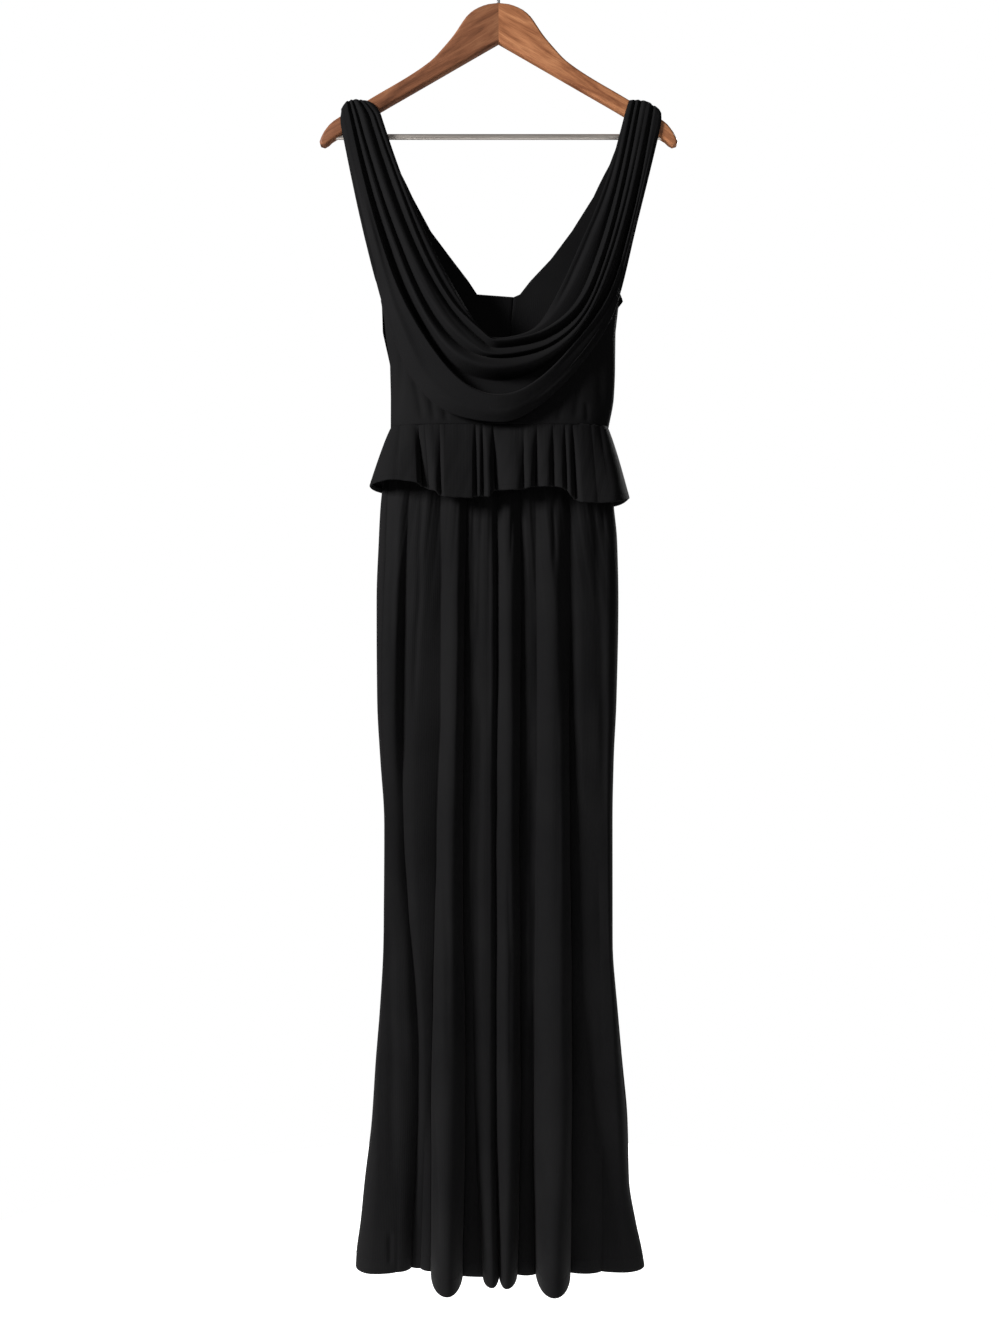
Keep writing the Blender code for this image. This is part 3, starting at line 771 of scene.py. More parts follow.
# ---- stitches ---------------------------------------------------------------------------
@dataclass(frozen=True)
class StitchRow:
    """A row of straight stitches that Geometry Nodes lay along a route."""

    pitch: float = 3.1
    length: float = 2.2
    thread_radius: float = 0.2
    sides: int = 6

    def tree(self) -> bpy.types.GeometryNodeTree:
        """Return the node tree, with its sizes as named inputs, made once."""
        made = bpy.data.node_groups.get("stitch_row")
        if made:
            return made
        made = bpy.data.node_groups.new("stitch_row", "GeometryNodeTree")
        face = made.interface
        face.new_socket("Route", in_out="INPUT", socket_type="NodeSocketGeometry")
        for label in ("Pitch", "Stitch length", "Thread radius"):
            face.new_socket(label, in_out="INPUT", socket_type="NodeSocketFloat")
        face.new_socket("Thread", in_out="INPUT", socket_type="NodeSocketMaterial")
        face.new_socket("Stitches", in_out="OUTPUT", socket_type="NodeSocketGeometry")
        nodes = made.nodes
        given, result = nodes.new("NodeGroupInput"), nodes.new("NodeGroupOutput")
        curve, points, stitch, lay, realize, finish = (
            nodes.new("GeometryNode" + kind) for kind in ("MeshToCurve", "CurveToPoints", "MeshCylinder",
                                                          "InstanceOnPoints", "RealizeInstances",
                                                          "SetMaterial"))
        points.mode = "LENGTH"
        stitch.inputs["Vertices"].default_value = self.sides
        for source, target in (
                (given.outputs["Route"], curve.inputs["Mesh"]),
                (curve.outputs["Curve"], points.inputs["Curve"]),
                (given.outputs["Pitch"], points.inputs["Length"]),
                (given.outputs["Stitch length"], stitch.inputs["Depth"]),
                (given.outputs["Thread radius"], stitch.inputs["Radius"]),
                (points.outputs["Points"], lay.inputs["Points"]),
                (points.outputs["Rotation"], lay.inputs["Rotation"]),
                (stitch.outputs["Mesh"], lay.inputs["Instance"]),
                (lay.outputs["Instances"], realize.inputs["Geometry"]),
                (realize.outputs["Geometry"], finish.inputs["Geometry"]),
                (given.outputs["Thread"], finish.inputs["Material"]),
                (finish.outputs["Geometry"], result.inputs["Stitches"])):
            made.links.new(source, target)
        return made

    def sew(self, name: str, route: Array, thread: Material) -> Piece:
        """Lay stitches along a route and return them as one plain mesh object.

        Args:
            name: The piece's name.
            route: Points of the route, in millimetres.
            thread: The thread's material.

        Returns:
            The stitches.
        """
        guide_mesh = bpy.data.meshes.new(name + "_route")
        guide_mesh.from_pydata([tuple(p * MM) for p in route],
                               [(k, k + 1) for k in range(len(route) - 1)], [])
        guide = place_in_scene(name + "_route", guide_mesh)
        modifier = guide.modifiers.new("stitches", "NODES")
        modifier.node_group = self.tree()
        sockets = {item.name: item.identifier for item in modifier.node_group.interface.items_tree
                   if item.in_out == "INPUT"}
        for label, value in (("Pitch", self.pitch * MM), ("Stitch length", self.length * MM),
                             ("Thread radius", self.thread_radius * MM), ("Thread", thread)):
            modifier[sockets[label]] = value
        graph = bpy.context.evaluated_depsgraph_get()
        mesh = bpy.data.meshes.new_from_object(guide.evaluated_get(graph))
        mesh.name = name
        guide.modifiers.remove(modifier)
        bpy.data.objects.remove(guide)
        return place_in_scene(name, mesh)


# ---- sub-assemblies ---------------------------------------------------------------------
def register(piece: Piece, nodes: Sequence[str], finish: Material) -> None:
    """Give a piece its finish and body, and hide the CAD nodes it stands for.

    Args:
        piece: The finished object.
        nodes: CAD nodes that it replaces.
        finish: Its material.
    """
    piece.data.materials.clear()
    piece.data.materials.append(finish)
    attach(piece, BODY)
    if nodes:
        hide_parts(*nodes)
    LOG.info("%s: %d faces", piece.name, len(piece.data.polygons))


@dataclass(kw_only=True)
class HemmedPanel:
    """A gathered panel whose lower edge is turned under and stitched."""

    name: str
    node: str
    facing: Facing
    rests_on: str
    flat: tuple[float, float]
    area: float
    hem_turn: float
    hem_depth: float
    stitching: StitchRow

    def grid(self) -> Array:
        """Return the panel's folded surface."""
        raise NotImplementedError

    def stitched_row(self, grid: Array) -> int:
        """Return the row of the grid that the hem's stitches follow."""
        raise NotImplementedError

    def build(self, jersey: Material, thread: Material) -> None:
        """Build the panel with its turned hem and the hem's stitches.

        Args:
            jersey: The cloth's material.
            thread: The stitches' material.
        """
        grid = self.grid()
        row = self.stitched_row(grid)
        line = grid[row] + outward(grid, self.facing)[row] * (WALL / 2 + STITCH_LIFT)
        stitches = self.stitching.sew(self.name + "_hem_stitches", line, thread)
        piece = cloth_shell(self.name, turned_edge(grid, self.facing, self.hem_turn, self.hem_depth),
                            self.facing)
        register(piece, [self.node], jersey)
        register(stitches, [], thread)


@dataclass(kw_only=True)
class SkirtPanel(HemmedPanel):
    """One half of the gathered skirt."""

    folds: Sequence[SkirtFold]
    creases: Sequence[Crease]
    waist_depth: float
    steps: int = 16
    rows: int = 120
    steepening: float = 0.55
    free_below: float = 200.0       # below the waist by this much, folds sway freely
    sway_x: tuple[float, float] = (0.8, 420.0)      # amount and length of a sway
    sway_out: tuple[float, float] = (0.9, 350.0)
    pucker: float = 1.0
    pucker_length: float = 21.0
    pucker_reach: float = 330.0
    CRESTS = ((0, 0.3, 0.6, 1.0), (0.6, 0.55, 0.5, 0.42))       # by how far down the skirt
    hem_turn: float = 0.9
    hem_depth: float = 16.0
    hem_stitch_up: float = 14.0
    stitching: StitchRow = StitchRow()

    def levels(self) -> Array:
        """Return the panel's heights, closer together near the gathers and the hem."""
        t = np.linspace(0, 1, self.rows)
        eased = t - 0.06 * np.sin(2 * math.pi * t)
        return WAIST_Z + (HEM_Z - WAIST_Z) * eased

    def knots(self, z: float) -> list[tuple[float, float]]:
        """Find where each ridge and valley stands at one height.

        Args:
            z: The height.

        Returns:
            x and out of each ridge and valley in turn.
        """
        placed = []
        for number, fold in enumerate(self.folds):
            flank = Flank.LEFT if fold.x_waist < 0 else Flank.RIGHT
            snug = self.waist_depth * float(roundness(fold.x_waist / side_at(SKIRT_SIDES, WAIST_Z, flank)))
            waist = min(fold.waist, snug + 0.4 * (fold.waist - 33))
            across = (fold.x_waist, fold.x_hip, fold.x_knee, fold.x_calf, fold.x_hem)
            x = smooth_curve(z, SKIRT_LEVELS, across)
            out = smooth_curve(z, SKIRT_LEVELS, (waist, fold.hip, fold.knee, fold.calf, fold.hem))
            away = smoothstep(-z, -WAIST_Z, -WAIST_Z + self.free_below)
            amount, length = self.sway_x
            x = float(x + away * amount * wander(z, number + 11 * self.facing.value, length))
            amount, length = self.sway_out
            out = float(out + away * amount * wander(z, number + 5.5 + 7 * self.facing.value, length))
            placed.append((x, out))
        return placed

    def grid(self) -> Array:
        """Return the panel's folded surface."""
        rows = []
        for z in self.levels():
            fallen = (WAIST_Z - z) / (WAIST_Z - HEM_Z)
            crest = float(smooth_curve(fallen, *self.CRESTS))
            section = folded_section(-float(side_at(SKIRT_SIDES, z, Flank.LEFT)),
                                     float(side_at(SKIRT_SIDES, z, Flank.RIGHT)),
                                     self.knots(z), 1.0 + self.steepening * fallen, crest, self.steps)
            x, out = section[:, 0], section[:, 1]
            pull = 1 - smoothstep(-z, -WAIST_Z, -WAIST_Z + self.pucker_reach)
            near_seam = np.minimum(1.0, out / 20)
            puckers = wander(x + 0.012 * (z - WAIST_Z) * x / 10, 3.3, self.pucker_length)
            out = out + self.pucker * pull * near_seam * puckers
            rows.append(np.stack([x, self.facing.value * out, np.full(x.shape, z)], axis=1))
        return press_creases(np.array(rows), self.facing, self.creases)

    def stitched_row(self, grid: Array) -> int:
        """Return the row of the grid that the hem's stitches follow."""
        return int(np.argmin(np.abs(grid[:, 0, 2] - (HEM_Z + self.hem_stitch_up))))


@dataclass(kw_only=True)
class PeplumPanel(HemmedPanel):
    """One half of the fluted frill that covers the skirt's gathers."""

    flutes: Sequence[Flute]
    waist_depth: float
    steps: int = 14
    rows: int = 30
    crest: float = 0.4
    tuck: float = 1.0
    lap: float = 2.0
    flare_power: float = 0.85
    steepening: float = 0.35
    side_flare: float = 27.0
    side_drop: tuple[float, float] = (71.0, 85.0)
    hem_turn: float = 0.8
    hem_depth: float = 5.0
    stitching: StitchRow = StitchRow(pitch=2.9, length=2.0)

    def grid(self) -> Array:
        """Return the frill's fluted surface."""
        left = float(side_at(BODICE_SIDES, WAIST_Z, Flank.LEFT)) - self.tuck
        right = float(side_at(BODICE_SIDES, WAIST_Z, Flank.RIGHT)) - self.tuck
        drops = [self.side_drop[0]] + [f.drop for f in self.flutes] + [self.side_drop[1]]
        rows = []
        for part in np.linspace(0, 1, self.rows):
            flare = part ** self.flare_power
            knots = []
            for flute in self.flutes:
                half = left if flute.x_seam < 0 else right
                snug = self.waist_depth * float(roundness(flute.x_seam / half)) - self.tuck
                knots.append((flute.x_seam + (flute.x_hem - flute.x_seam) * part,
                              snug + (flute.out - snug) * flare))
            section = folded_section(-left - self.side_flare * flare, right + self.side_flare * flare,
                                     knots, 1.0 + self.steepening * part, self.crest, self.steps)
            fall = smooth_curve(np.linspace(0, len(drops) - 1, len(section)), range(len(drops)), drops)
            x, out = section[:, 0], section[:, 1]
            ease = np.minimum(1.0, out / 20)
            out = out + ease * 0.3 * wander(x, 9.1, 17) * (1 - part) ** 1.5
            out = out + ease * 0.8 * part * wander(x + 30 * part, 4.7, 55)
            z = WAIST_Z + self.lap - part * (fall + self.lap + 0.8 * wander(x, 2.2, 70))
            rows.append(np.stack([x, self.facing.value * out, z], axis=1))
        return np.array(rows)

    def stitched_row(self, grid: Array) -> int:
        """Return the row of the grid that the hem's stitches follow."""
        return len(grid) - 3


BODICE_FRONT_CREASES = tuple(Crease(*row) for row in (
    (-104, -540, -92, -599, 1.4, 4.0), (-84, -556, -78, -599, 1.6, 3.5),
    (-118, -500, -124, -596, 1.2, 5.0), (98, -548, 92, -599, 1.4, 4.5),
    (120, -480, 128, -590, 1.4, 6.0), (108, -570, 108, -599, 1.2, 3.0),
    (-66, -570, -62, -599, 1.4, 3.0), (74, -566, 72, -599, 1.3, 3.2),
))


@dataclass
class FrontBodice:
    """The fitted front that shows under the cowl's free edge."""

    across: int = 150
    up: int = 56
    TOP_MIDDLE, TOP_RISE, TOP_HALF = -516, 76, 148

    @staticmethod
    def depth(z: Values) -> Array:
        """Return how far out its middle stands, by height."""
        return smooth_curve(z, (-600, -560, -515, -440), (37.0, 33.0, 30.0, 27.0))

    @classmethod
    def out_at(cls, x: Array, z: Array) -> Array:
        """Return how far out it stands at any point."""
        return cls.depth(z) * roundness(x / bodice_half(x, z))

    @classmethod
    def top_at(cls, x: Array) -> Array:
        """Return the height of its hidden top edge, by x."""
        return cls.TOP_MIDDLE + cls.TOP_RISE * np.minimum(1, (x / cls.TOP_HALF) ** 2)

    def grid(self) -> Array:
        """Return its surface, from its hidden top edge down to the waist seam."""
        s = np.sin(math.pi * (np.arange(self.across + 1) / self.across - 0.5))
        top = self.top_at(self.TOP_HALF * s)
        rows = []
        for part in np.linspace(0, 1, self.up):
            z = top + (WAIST_Z - top) * part
            rows.append(np.stack([s * bodice_half(s, z), -self.depth(z) * roundness(s), z], axis=1))
        return press_creases(np.array(rows), Facing.FRONT, BODICE_FRONT_CREASES)

    def build(self, jersey: Material) -> None:
        """Build the bodice front."""
        piece = cloth_shell("bodice_front_cloth", self.grid(), Facing.FRONT)
        register(piece, ["front_bodice"], jersey)


STRAP_BULGE = {
    Flank.LEFT: ((150, 160, 167, 177, 187, 193, 200), (-9, -5, 0, 7, 11, 8, -2)),
    Flank.RIGHT: ((150, 162, 171, 181, 190, 198, 205), (-8, -3, 3, 7.5, 9, 8, 1)),
}
STRAP_GATHER = {Flank.LEFT: (184.0, 0.40, 0.26), Flank.RIGHT: (188.0, 0.05, 0.16)}
ARM_X, ARM_DROP, ARM_SLOPE = 161, 120, 0.592    # a point on the arm's top, and its fall from there
CLOTH_ON_ARM = 3.2


def shoulder_z(x: Values) -> Array:
    """Return the height of a strap where its gathers bunch over the hanger's arm."""
    arm = APEX_Z - ARM_DROP - ARM_SLOPE * (np.abs(x) - ARM_X) + CLOTH_ON_ARM
    left, right = (smooth_curve(np.abs(x), *STRAP_BULGE[flank]) for flank in Flank)
    return arm + np.where(np.asarray(x) < 0, left, right)


def draw_in(x: Array, z: Array, top: Array, reach: float = 24.0) -> Array:
    """Return a strap's x, drawn in towards the strap's middle close to its top.

    Args:
        x: Where the cloth is.
        z: Its height.
        top: Height of the strap's top there.
        reach: How far below the top the gathers start to draw in.

    Returns:
        The drawn-in x.
    """
    near = np.clip((z - (top - reach)) / reach, 0, 1) ** 2
    drawn = np.array(x, float)
    for flank, (middle, inner, outer) in STRAP_GATHER.items():
        away = np.abs(x) - middle
        pulled = flank.value * (middle + away * (1 - near * np.where(away < 0, inner, outer)))
        drawn = np.where(np.sign(x) == flank.value, pulled, drawn)
    return drawn


def roll_over(out: Array, z: Array, top: Array) -> Array:
    """Return a strap's distance out, brought in as it rolls over the hanger's arm."""
    climb = np.clip((z - (top - STRAP_ROLL)) / STRAP_ROLL, 0, 1)
    return np.maximum(0, out * np.sqrt(np.clip(1 - climb * climb, 0, None)))


@dataclass
class FrontCowl:
    """The draped front, from its gathered straps to its free lower edge."""

    stops: int = 115
    rows: int = 144
    crest: float = 0.6
    hang_power: float = 1.6
    sewn_from: float = -370.0       # below here its sides are sewn to the back
    sewn_over: float = 60.0

    def places(self) -> Array:
        """Return places along the folds, closer together where the straps roll over the arms."""
        half = 1 - (1 - np.linspace(0, 1, self.stops)) ** 1.25
        return np.concatenate([-half[::-1], half[1:]])

    def fold_lines(self, w: Array) -> Array:
        """Lay out every fold's own line, before the straps roll over.

        Args:
            w: Places along the folds, from -1 at the left shoulder to 1 at the right one.

        Returns:
            Rows of x, out and z for each fold.
        """
        lines = []
        for fold in COWL_FOLDS:
            stations = [-s for s in COWL_STATIONS[:0:-1]] + list(COWL_STATIONS)
            widths = [-x for x in fold.left[::-1]] + [0.0] + list(fold.right)
            x = smooth_curve(w, stations, widths)
            end = np.where(w < 0, -fold.left[-1], fold.right[-1])
            top = shoulder_z(draw_in(end, np.zeros(len(w)), np.zeros(len(w))))
            z = fold.z + (top - fold.z) * w * w
            hang = (1 - np.abs(w) ** self.hang_power) ** self.hang_power
            relief = np.where(w < 0, fold.strap_left, fold.strap_right)
            on_strap = STRAP_OUT + relief * (1.6 - np.abs(w)) + 5 * (1 - np.abs(w))
            lines.append(np.stack([x, fold.out * hang + on_strap * (1 - hang), z], axis=1))
        return np.array(lines)

    def grid(self) -> Array:
        """Return the draped surface, rows from the neck edge to the lower edge."""
        w = self.places()
        lines = self.fold_lines(w)
        count = len(COWL_FOLDS)
        v = np.linspace(0, count - 1, self.rows)
        k = np.clip(v.astype(int), 0, count - 2)
        t = (v - k)[:, None]
        above, below = lines[k, :, 1], lines[k + 1, :, 1]
        climb = 0.5 - 0.5 * np.cos(math.pi * np.where(below > above, t, 1 - t))
        out = np.minimum(above, below) + np.abs(below - above) * climb ** self.crest
        x = np.array([smooth_curve(v, range(count), lines[:, c, 0]) for c in range(len(w))]).T
        z = np.array([smooth_curve(v, range(count), lines[:, c, 2]) for c in range(len(w))]).T
        for number, crease in enumerate(COWL_CREASES):
            along = (w - crease.w_from) / (crease.w_to - crease.w_from)
            route = smooth_curve(along, (0, 0.5, 1), (crease.at_from, crease.at_middle, crease.at_to))
            fade = smoothstep(along, 0, 0.3) * (1 - smoothstep(along, 0.7, 1))
            route = route + 0.06 * wander(w * 100, number + 1, 60)
            out = out - crease.depth * fade * np.exp(-((v[:, None] - route) / crease.width) ** 2)
        x = draw_in(x, z, shoulder_z(x))
        top = shoulder_z(x)
        z = np.minimum(z, top)
        sewn = np.clip((self.sewn_from - z) / self.sewn_over, 0, 1)
        out = out * (1 - 0.65 * sewn * (1 - roundness(x / 150)))
        gap = FrontBodice.out_at(x, np.minimum(z, UNDERARM_Z)) + COWL_CLEAR - out
        out = out + np.maximum(gap, 0) * smoothstep(FrontBodice.top_at(x) + 12 - z, 0, 14)
        return np.stack([x, -roll_over(out, z, top), z], axis=2)

    def build(self, jersey: Material) -> None:
        """Build the cowl with its lower edge turned under."""
        grid = turned_edge(self.grid(), Facing.FRONT, 1.0, 9.0)
        piece = cloth_shell("cowl_cloth", grid, Facing.FRONT)
        register(piece, ["front_cowl"], jersey)


BACK_CREASES = tuple(Crease(*row) for row in (
    (-96, -470, -108, -590, 1.6, 6.0), (-60, -500, -66, -598, 1.4, 5.0),
    (92, -468, 106, -588, 1.6, 6.0), (52, -510, 56, -598, 1.4, 5.0),
    (-120, -330, -96, -440, 1.3, 6.0), (128, -330, 102, -436, 1.3, 6.0),
    (-30, -540, -28, -598, 1.1, 4.0), (26, -545, 24, -598, 1.1, 4.0),
    (-160, -250, -140, -360, 1.2, 5.0), (166, -250, 150, -356, 1.2, 5.0),
))


@dataclass
class BackPanel:
    """Half of the fitted back, with its strap."""

    flank: Flank
    columns: int = 64
    roll_rows: int = 10
    slope_from: float = -306.0      # the strap's rows start to slope here, up to the shoulder
    slope_over: float = 100.0
    sewn_from: float = -380.0       # below here its side is sewn to the front
    sewn_over: float = 50.0
    DEPTHS = ((-600, -500, -420, -300, -212), (34, 28, 25, 15, STRAP_OUT))

    def heights(self) -> Array:
        """Return heights up the panel, with extra rows at the neck's corner."""
        runs = ((WAIST_Z, -430, 46), (-429, -425.5, 8), (-424, STRAP_TOP, 76))
        return np.concatenate([np.linspace(*run) for run in runs])

    def edge(self, z: Array, column: str) -> Array:
        """Return one edge's x at the given heights, straight between rows of the table."""
        values = [getattr(row, f"{column}_{self.flank.name.lower()}") for row in BACK_ROWS]
        return np.interp(z, [row.z for row in BACK_ROWS], values)

    def grid(self) -> Array:
        """Return the panel's surface, from the shoulder seam down to the waist."""
        climbs = np.sqrt(np.linspace(0, 1, self.roll_rows)[1:])
        heights = self.heights()
        tall = np.concatenate([heights, np.full(len(climbs), STRAP_TOP)])
        rise = np.concatenate([np.zeros(len(heights)), climbs])
        neck, side = self.edge(tall, "neck"), self.flank.value * self.edge(tall, "side")
        spread = np.sin(math.pi / 2 * np.linspace(0, 1, self.columns))
        x = neck[:, None] + (side - neck)[:, None] * spread
        sloping = np.clip((tall - self.slope_from) / self.slope_over, 0, 1)[:, None]
        z = tall[:, None] + sloping * (shoulder_z(x) - shoulder_z(180))
        x = draw_in(x, np.where(rise[:, None] > 0, shoulder_z(x), z), shoulder_z(x))
        top = shoulder_z(x)
        z = np.where(rise[:, None] > 0, top - STRAP_ROLL * (1 - rise[:, None]),
                     np.minimum(z, top - STRAP_ROLL))
        depth = smooth_curve(tall, *self.DEPTHS)[:, None]
        sewn = np.clip((self.sewn_from - tall) / self.sewn_over, 0, 1)[:, None]
        out = depth * (sewn * roundness(x / np.abs(side)[:, None]) + 1 - sewn)
        grid = np.stack([x, roll_over(out, z, top), z], axis=2)
        return press_creases(grid[::-1], Facing.BACK, BACK_CREASES)

    def build(self, jersey: Material) -> None:
        """Build the back panel."""
        flank = self.flank.name.lower()
        piece = cloth_shell(f"back_{flank}_cloth", self.grid(), Facing.BACK)
        register(piece, [f"back_bodice_{flank}"], jersey)


# ---- hanger -----------------------------------------------------------------------------
@dataclass
class Hanger:
    """Two mitred wooden arms, a trouser bar and a wire hook."""

    thick: float = 13.0
    rounding: float = 3.2
    mitre: float = 0.001            # metres from the middle within which edges stay sharp
    bar_z: float = -236.7
    bar_radius: float = 3.4
    bar_half: float = 209.0
    wire: float = 1.9
    loop: float = 20.0

    TOP = ((0.0, 0), (12, -1.2), (21, -4), (31, -9), (40, -17), (47, -27), (55, -39), (70, -57),
           (84.5, -72), (161, -120), (199, -142.5), (208, -149), (214, -156), (219, -164), (222, -172))
    UNDERSIDE = ((221, -176), (218, -178), (214, -177), (207, -171), (199, -166), (175, -150.5),
                 (148, -134), (100, -106.2), (50, -77.3), (0.0, -48.5))

    def outline(self) -> list[tuple[float, float]]:
        """Return a finely drawn outline of the right arm."""
        drawn = []
        for run in (self.TOP, self.UNDERSIDE):
            corners = np.array(run, float)
            reach = np.concatenate([[0], np.cumsum(np.linalg.norm(np.diff(corners, axis=0), axis=1))])
            at = np.linspace(0, reach[-1], 46)
            drawn += list(zip(*(smooth_curve(at, reach, axis) for axis in corners.T)))
        return [(float(x), float(z)) for x, z in drawn]

    def arm(self, flank: Flank) -> Piece:
        """Build one arm: its outline extruded, with all long edges rounded.

        Args:
            flank: Which arm it is.

        Returns:
            The arm.
        """
        work = bmesh.new()
        ring = [work.verts.new((flank.value * x * MM, -self.thick / 2 * MM, (APEX_Z + z) * MM))
                for x, z in self.outline()]
        grown = bmesh.ops.extrude_face_region(work, geom=[work.faces.new(ring)])
        moved = [v for v in grown["geom"] if isinstance(v, bmesh.types.BMVert)]
        bmesh.ops.translate(work, verts=moved, vec=(0, self.thick * MM, 0))
        bmesh.ops.recalc_face_normals(work, faces=work.faces)
        long_edges = [e for e in work.edges if abs(e.verts[0].co.y - e.verts[1].co.y) < 1e-6
                      and max(abs(e.verts[0].co.x), abs(e.verts[1].co.x)) > self.mitre]
        bmesh.ops.bevel(work, geom=long_edges, offset=self.rounding * MM, segments=5, profile=0.5,
                        affect="EDGES", clamp_overlap=True)
        mesh = bpy.data.meshes.new(f"wood_arm_{flank.name.lower()}")
        work.to_mesh(mesh)
        work.free()
        mesh.shade_smooth()
        mesh.set_sharp_from_angle(angle=math.radians(35))
        return place_in_scene(mesh.name, mesh)

    @staticmethod
    def tube(name: str, route: Sequence[tuple[float, float, float]], radius: float) -> Piece:
        """Build a round wire along a route as a mesh.

        Args:
            name: The piece's name.
            route: Points in millimetres.
            radius: The wire's radius in millimetres.

        Returns:
            The wire.
        """
        curve = bpy.data.curves.new(name, "CURVE")
        curve.dimensions = "3D"
        curve.bevel_depth = radius * MM
        curve.bevel_resolution = 8
        curve.use_fill_caps = True
        spline = curve.splines.new("POLY")
        spline.points.add(len(route) - 1)
        for point, place in zip(spline.points, route):
            point.co = (*(Vector(place) * MM), 1)
        drawn = place_in_scene(name + "_route", curve)
        mesh = bpy.data.meshes.new_from_object(drawn.evaluated_get(bpy.context.evaluated_depsgraph_get()))
        bpy.data.objects.remove(drawn)
        mesh.name = name
        mesh.shade_smooth()
        mesh.set_sharp_from_angle(angle=math.radians(50))
        return place_in_scene(name, mesh)

    def hook_route(self) -> list[tuple[float, float, float]]:
        """Return the hook's route: up from the wood, into a loop, and round over the rail."""
        middle = self.loop + self.wire
        stem = [(0, APEX_Z - 12), (0, APEX_Z - 4), (0, APEX_Z + 4), (0.2, -62), (0.6, -58.5), (1.4, -55),
                (2.7, -51.7), (4.4, -48.6), (6.5, -45.8), (8.8, -43.2), (11.3, -40.4)]
        angles = np.linspace(math.radians(-50), math.radians(200), 64)
        ring = [(middle * math.cos(a), -self.loop + middle * math.sin(a)) for a in angles]
        return [(x, 0.0, z) for x, z in stem + ring]

    def build(self, woods: dict[Flank, Material], bar: Material, wire: Material) -> None:
        """Build the arms, the bar and the hook in their finishes.

        Args:
            woods: The wood of each arm.
            bar: The bar's steel.
            wire: The hook's steel.
        """
        for flank in Flank:
            register(self.arm(flank), [f"hanger_arm_{flank.name.lower()}"], woods[flank])
        rod = self.tube("bar_rod", [(x, 0, self.bar_z) for x in (-self.bar_half, 0, self.bar_half)],
                        self.bar_radius)
        register(rod, ["trouser_bar"], bar)
        register(self.tube("hook_wire", self.hook_route(), self.wire), ["hanger_hook"], wire)


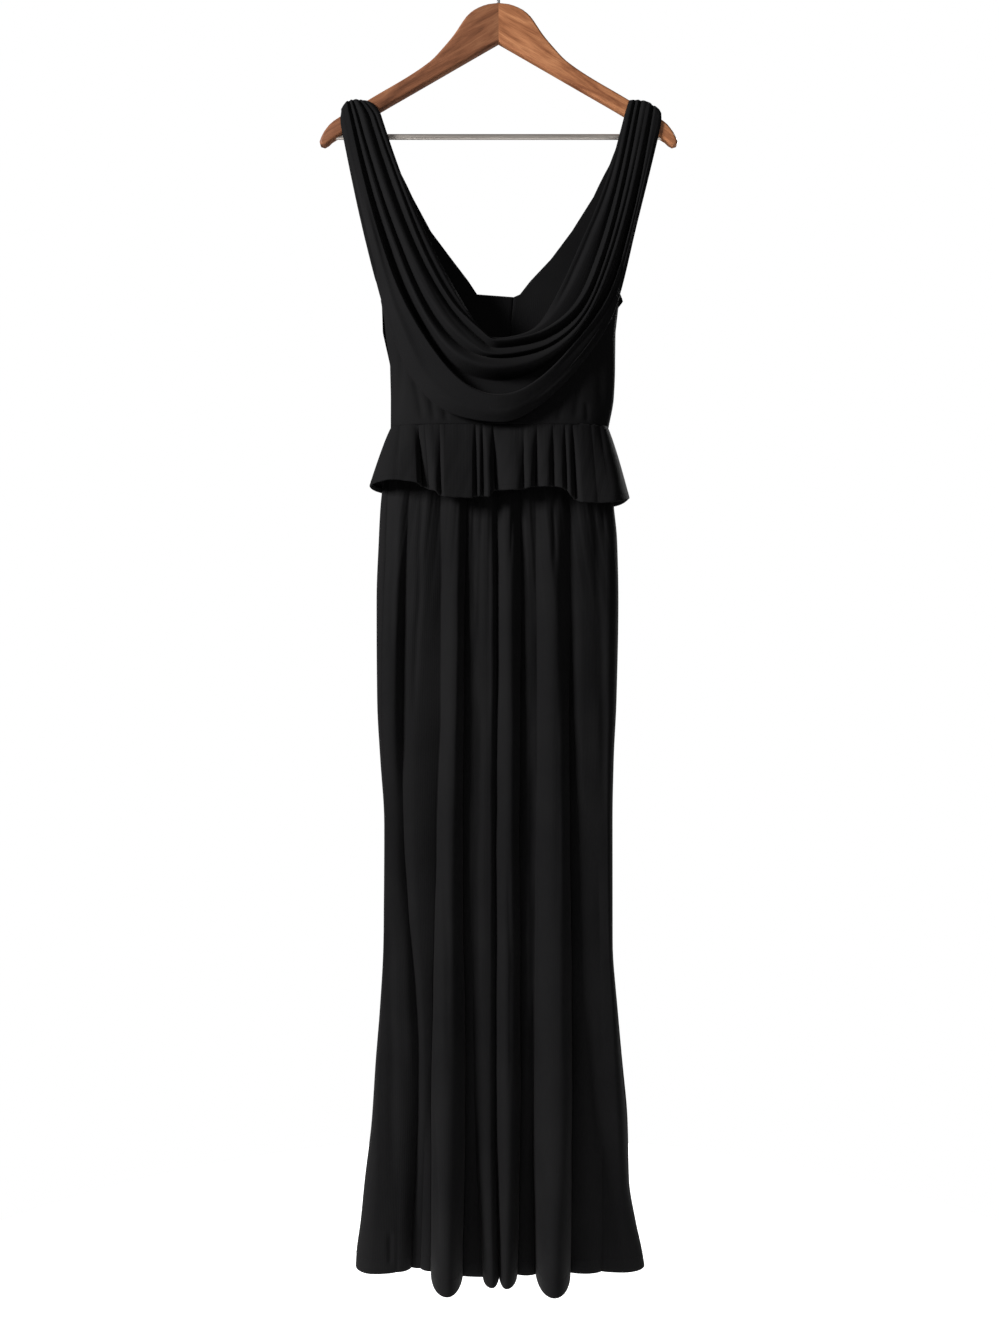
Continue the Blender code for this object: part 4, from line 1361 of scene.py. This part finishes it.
# ---- studio -----------------------------------------------------------------------------
@dataclass
class Studio:
    """Camera, a pale floor in a plain white surround, and soft lights."""

    camera_distance: float = 1.7
    camera_x: float = 0.0012
    camera_z: float = -0.8949
    view_height: float = 1.657
    sensor: float = 36.0
    floor_z: float = -1.86
    floor_reach: float = 1.1
    shed: float = 0.035
    mirrored: float = 0.1

    AIM = (0.0, 0.0, -0.85)
    LAMPS = (
        ("key", (-2.45, -1.45, 0.35), (0.7, 0.9), 158), ("fill", (1.4, -2.4, 0.2), (0.8, 1.6), 10),
        ("back", (1.5, 2.3, 0.5), (0.8, 1.2), 60),
    )

    def camera(self) -> None:
        """Set the camera in front of the dress, level with its middle."""
        lens = bpy.data.cameras.new("front_view")
        lens.sensor_width = self.sensor
        lens.lens = self.sensor * self.camera_distance / self.view_height
        lens.clip_end = 30.0
        placed = place_in_scene("front_view", lens)
        placed.location = (self.camera_x, -self.camera_distance, self.camera_z)
        placed.rotation_euler = (math.pi / 2, 0, 0)
        bpy.context.scene.camera = placed

    def stage(self, finish: Material) -> None:
        """Lay a round floor under the dress."""
        points = [(self.floor_reach * math.cos(a), self.floor_reach * math.sin(a), self.floor_z)
                  for a in np.linspace(0, 2 * math.pi, 96, endpoint=False)]
        mesh = bpy.data.meshes.new("pale_floor")
        mesh.from_pydata(points, [], [tuple(range(len(points)))])
        mesh.materials.append(finish)
        place_in_scene("pale_floor", mesh)

    @staticmethod
    def softbox(name: str, place: tuple[float, float, float], aim: tuple[float, float, float],
                size: tuple[float, float], power: float) -> None:
        """Add one rectangular soft light.

        Args:
            name: The light's name.
            place: Its position in metres.
            aim: The point that it faces.
            size: Its width and height in metres.
            power: Its power in watts.
        """
        data = bpy.data.lights.new(name, "AREA")
        data.shape = "RECTANGLE"
        data.size, data.size_y = size
        data.energy = power
        light = place_in_scene(name, data)
        light.location = place
        light.visible_camera = False
        light.rotation_euler = (Vector(aim) - Vector(place)).to_track_quat("-Z", "Y").to_euler()

    def lights(self) -> None:
        """Set a key on the left, and weak fills in front and behind."""
        for name, place, size, power in self.LAMPS:
            self.softbox(name, place, self.AIM, size, power)

    def surround(self) -> None:
        """Set a surround that the camera sees as white, and that sheds little light."""
        world = bpy.data.worlds.new("white_surround")
        world.use_nodes = True
        sheet = NodeTree(world.node_tree)
        glow = sheet.tree.nodes["Background"]
        glow.inputs["Color"].default_value = (1.0, 1.0, 1.0, 1.0)
        ray = sheet.add("LightPath")
        strength = sheet.add("MapRange", To_Min=self.shed, To_Max=1.0)
        sheet.join(ray.outputs["Is Camera Ray"], strength.inputs["Value"])
        total = sheet.weigh(ray.outputs["Is Glossy Ray"], self.mirrored, strength.outputs["Result"])
        sheet.join(total, glow.inputs["Strength"])
        bpy.context.scene.world = world

    def build(self, finish: Material) -> None:
        """Set up the whole studio."""
        self.camera()
        self.stage(finish)
        self.lights()
        self.surround()
        bpy.context.scene.view_settings.view_transform = "Standard"


def dress() -> None:
    """Build every cloth piece."""
    jersey, thread = Jersey().build(), Thread().build()
    front, back = Facing.FRONT, Facing.BACK
    panels = (
        SkirtPanel(name="skirt_front_cloth", node="skirt_front", facing=front, waist_depth=34.0,
                   folds=SKIRT_FRONT_FOLDS, creases=SKIRT_FRONT_CREASES, rests_on="peplum_front",
                   flat=(0.75, 1.056), area=0.47),
        SkirtPanel(name="skirt_back_cloth", node="skirt_back", facing=back, waist_depth=31.0,
                   folds=SKIRT_BACK_FOLDS, creases=SKIRT_BACK_CREASES, rests_on="peplum_back", steps=22,
                   flat=(0.74, 1.056), area=0.48),
        PeplumPanel(name="peplum_front_cloth", node="peplum_front", facing=front, waist_depth=37.0,
                    flutes=PEPLUM_FRONT_FLUTES, rests_on="front_bodice", flat=(0.58, 0.1), area=0.041),
        PeplumPanel(name="peplum_back_cloth", node="peplum_back", facing=back, waist_depth=34.0,
                    flutes=PEPLUM_BACK_FLUTES, rests_on="back_bodice_left", flat=(0.5, 0.1), area=0.038),
    )
    for panel in panels:
        panel.build(jersey, thread)
    FrontBodice().build(jersey)
    FrontCowl().build(jersey)
    for flank in Flank:
        BackPanel(flank).build(jersey)


def main() -> None:
    """Build the studio, the hanger and the dress in order."""
    logging.basicConfig(level=logging.INFO, format="%(name)s: %(message)s")
    Studio().build(Plaster().build())
    woods = {
        Flank.LEFT: Timber("red_wood", (0.1, 0.036, 0.016), (0.205, 0.078, 0.036), (0.285, 0.122, 0.058),
                           30.5).build(),
        Flank.RIGHT: Timber("tan_wood", (0.21, 0.072, 0.03), (0.4, 0.16, 0.07), (0.56, 0.25, 0.115),
                            -30.5).build(),
    }
    Hanger().build(woods, Steel("bar_steel", (0.42, 0.375, 0.34), (0.64, 0.59, 0.54), 0.4, 0.55).build(),
                   Steel("hook_steel", (0.5, 0.5, 0.5), (0.68, 0.68, 0.68), 0.16, 0.3).build())
    dress()


if __name__ == "__main__":
    main()
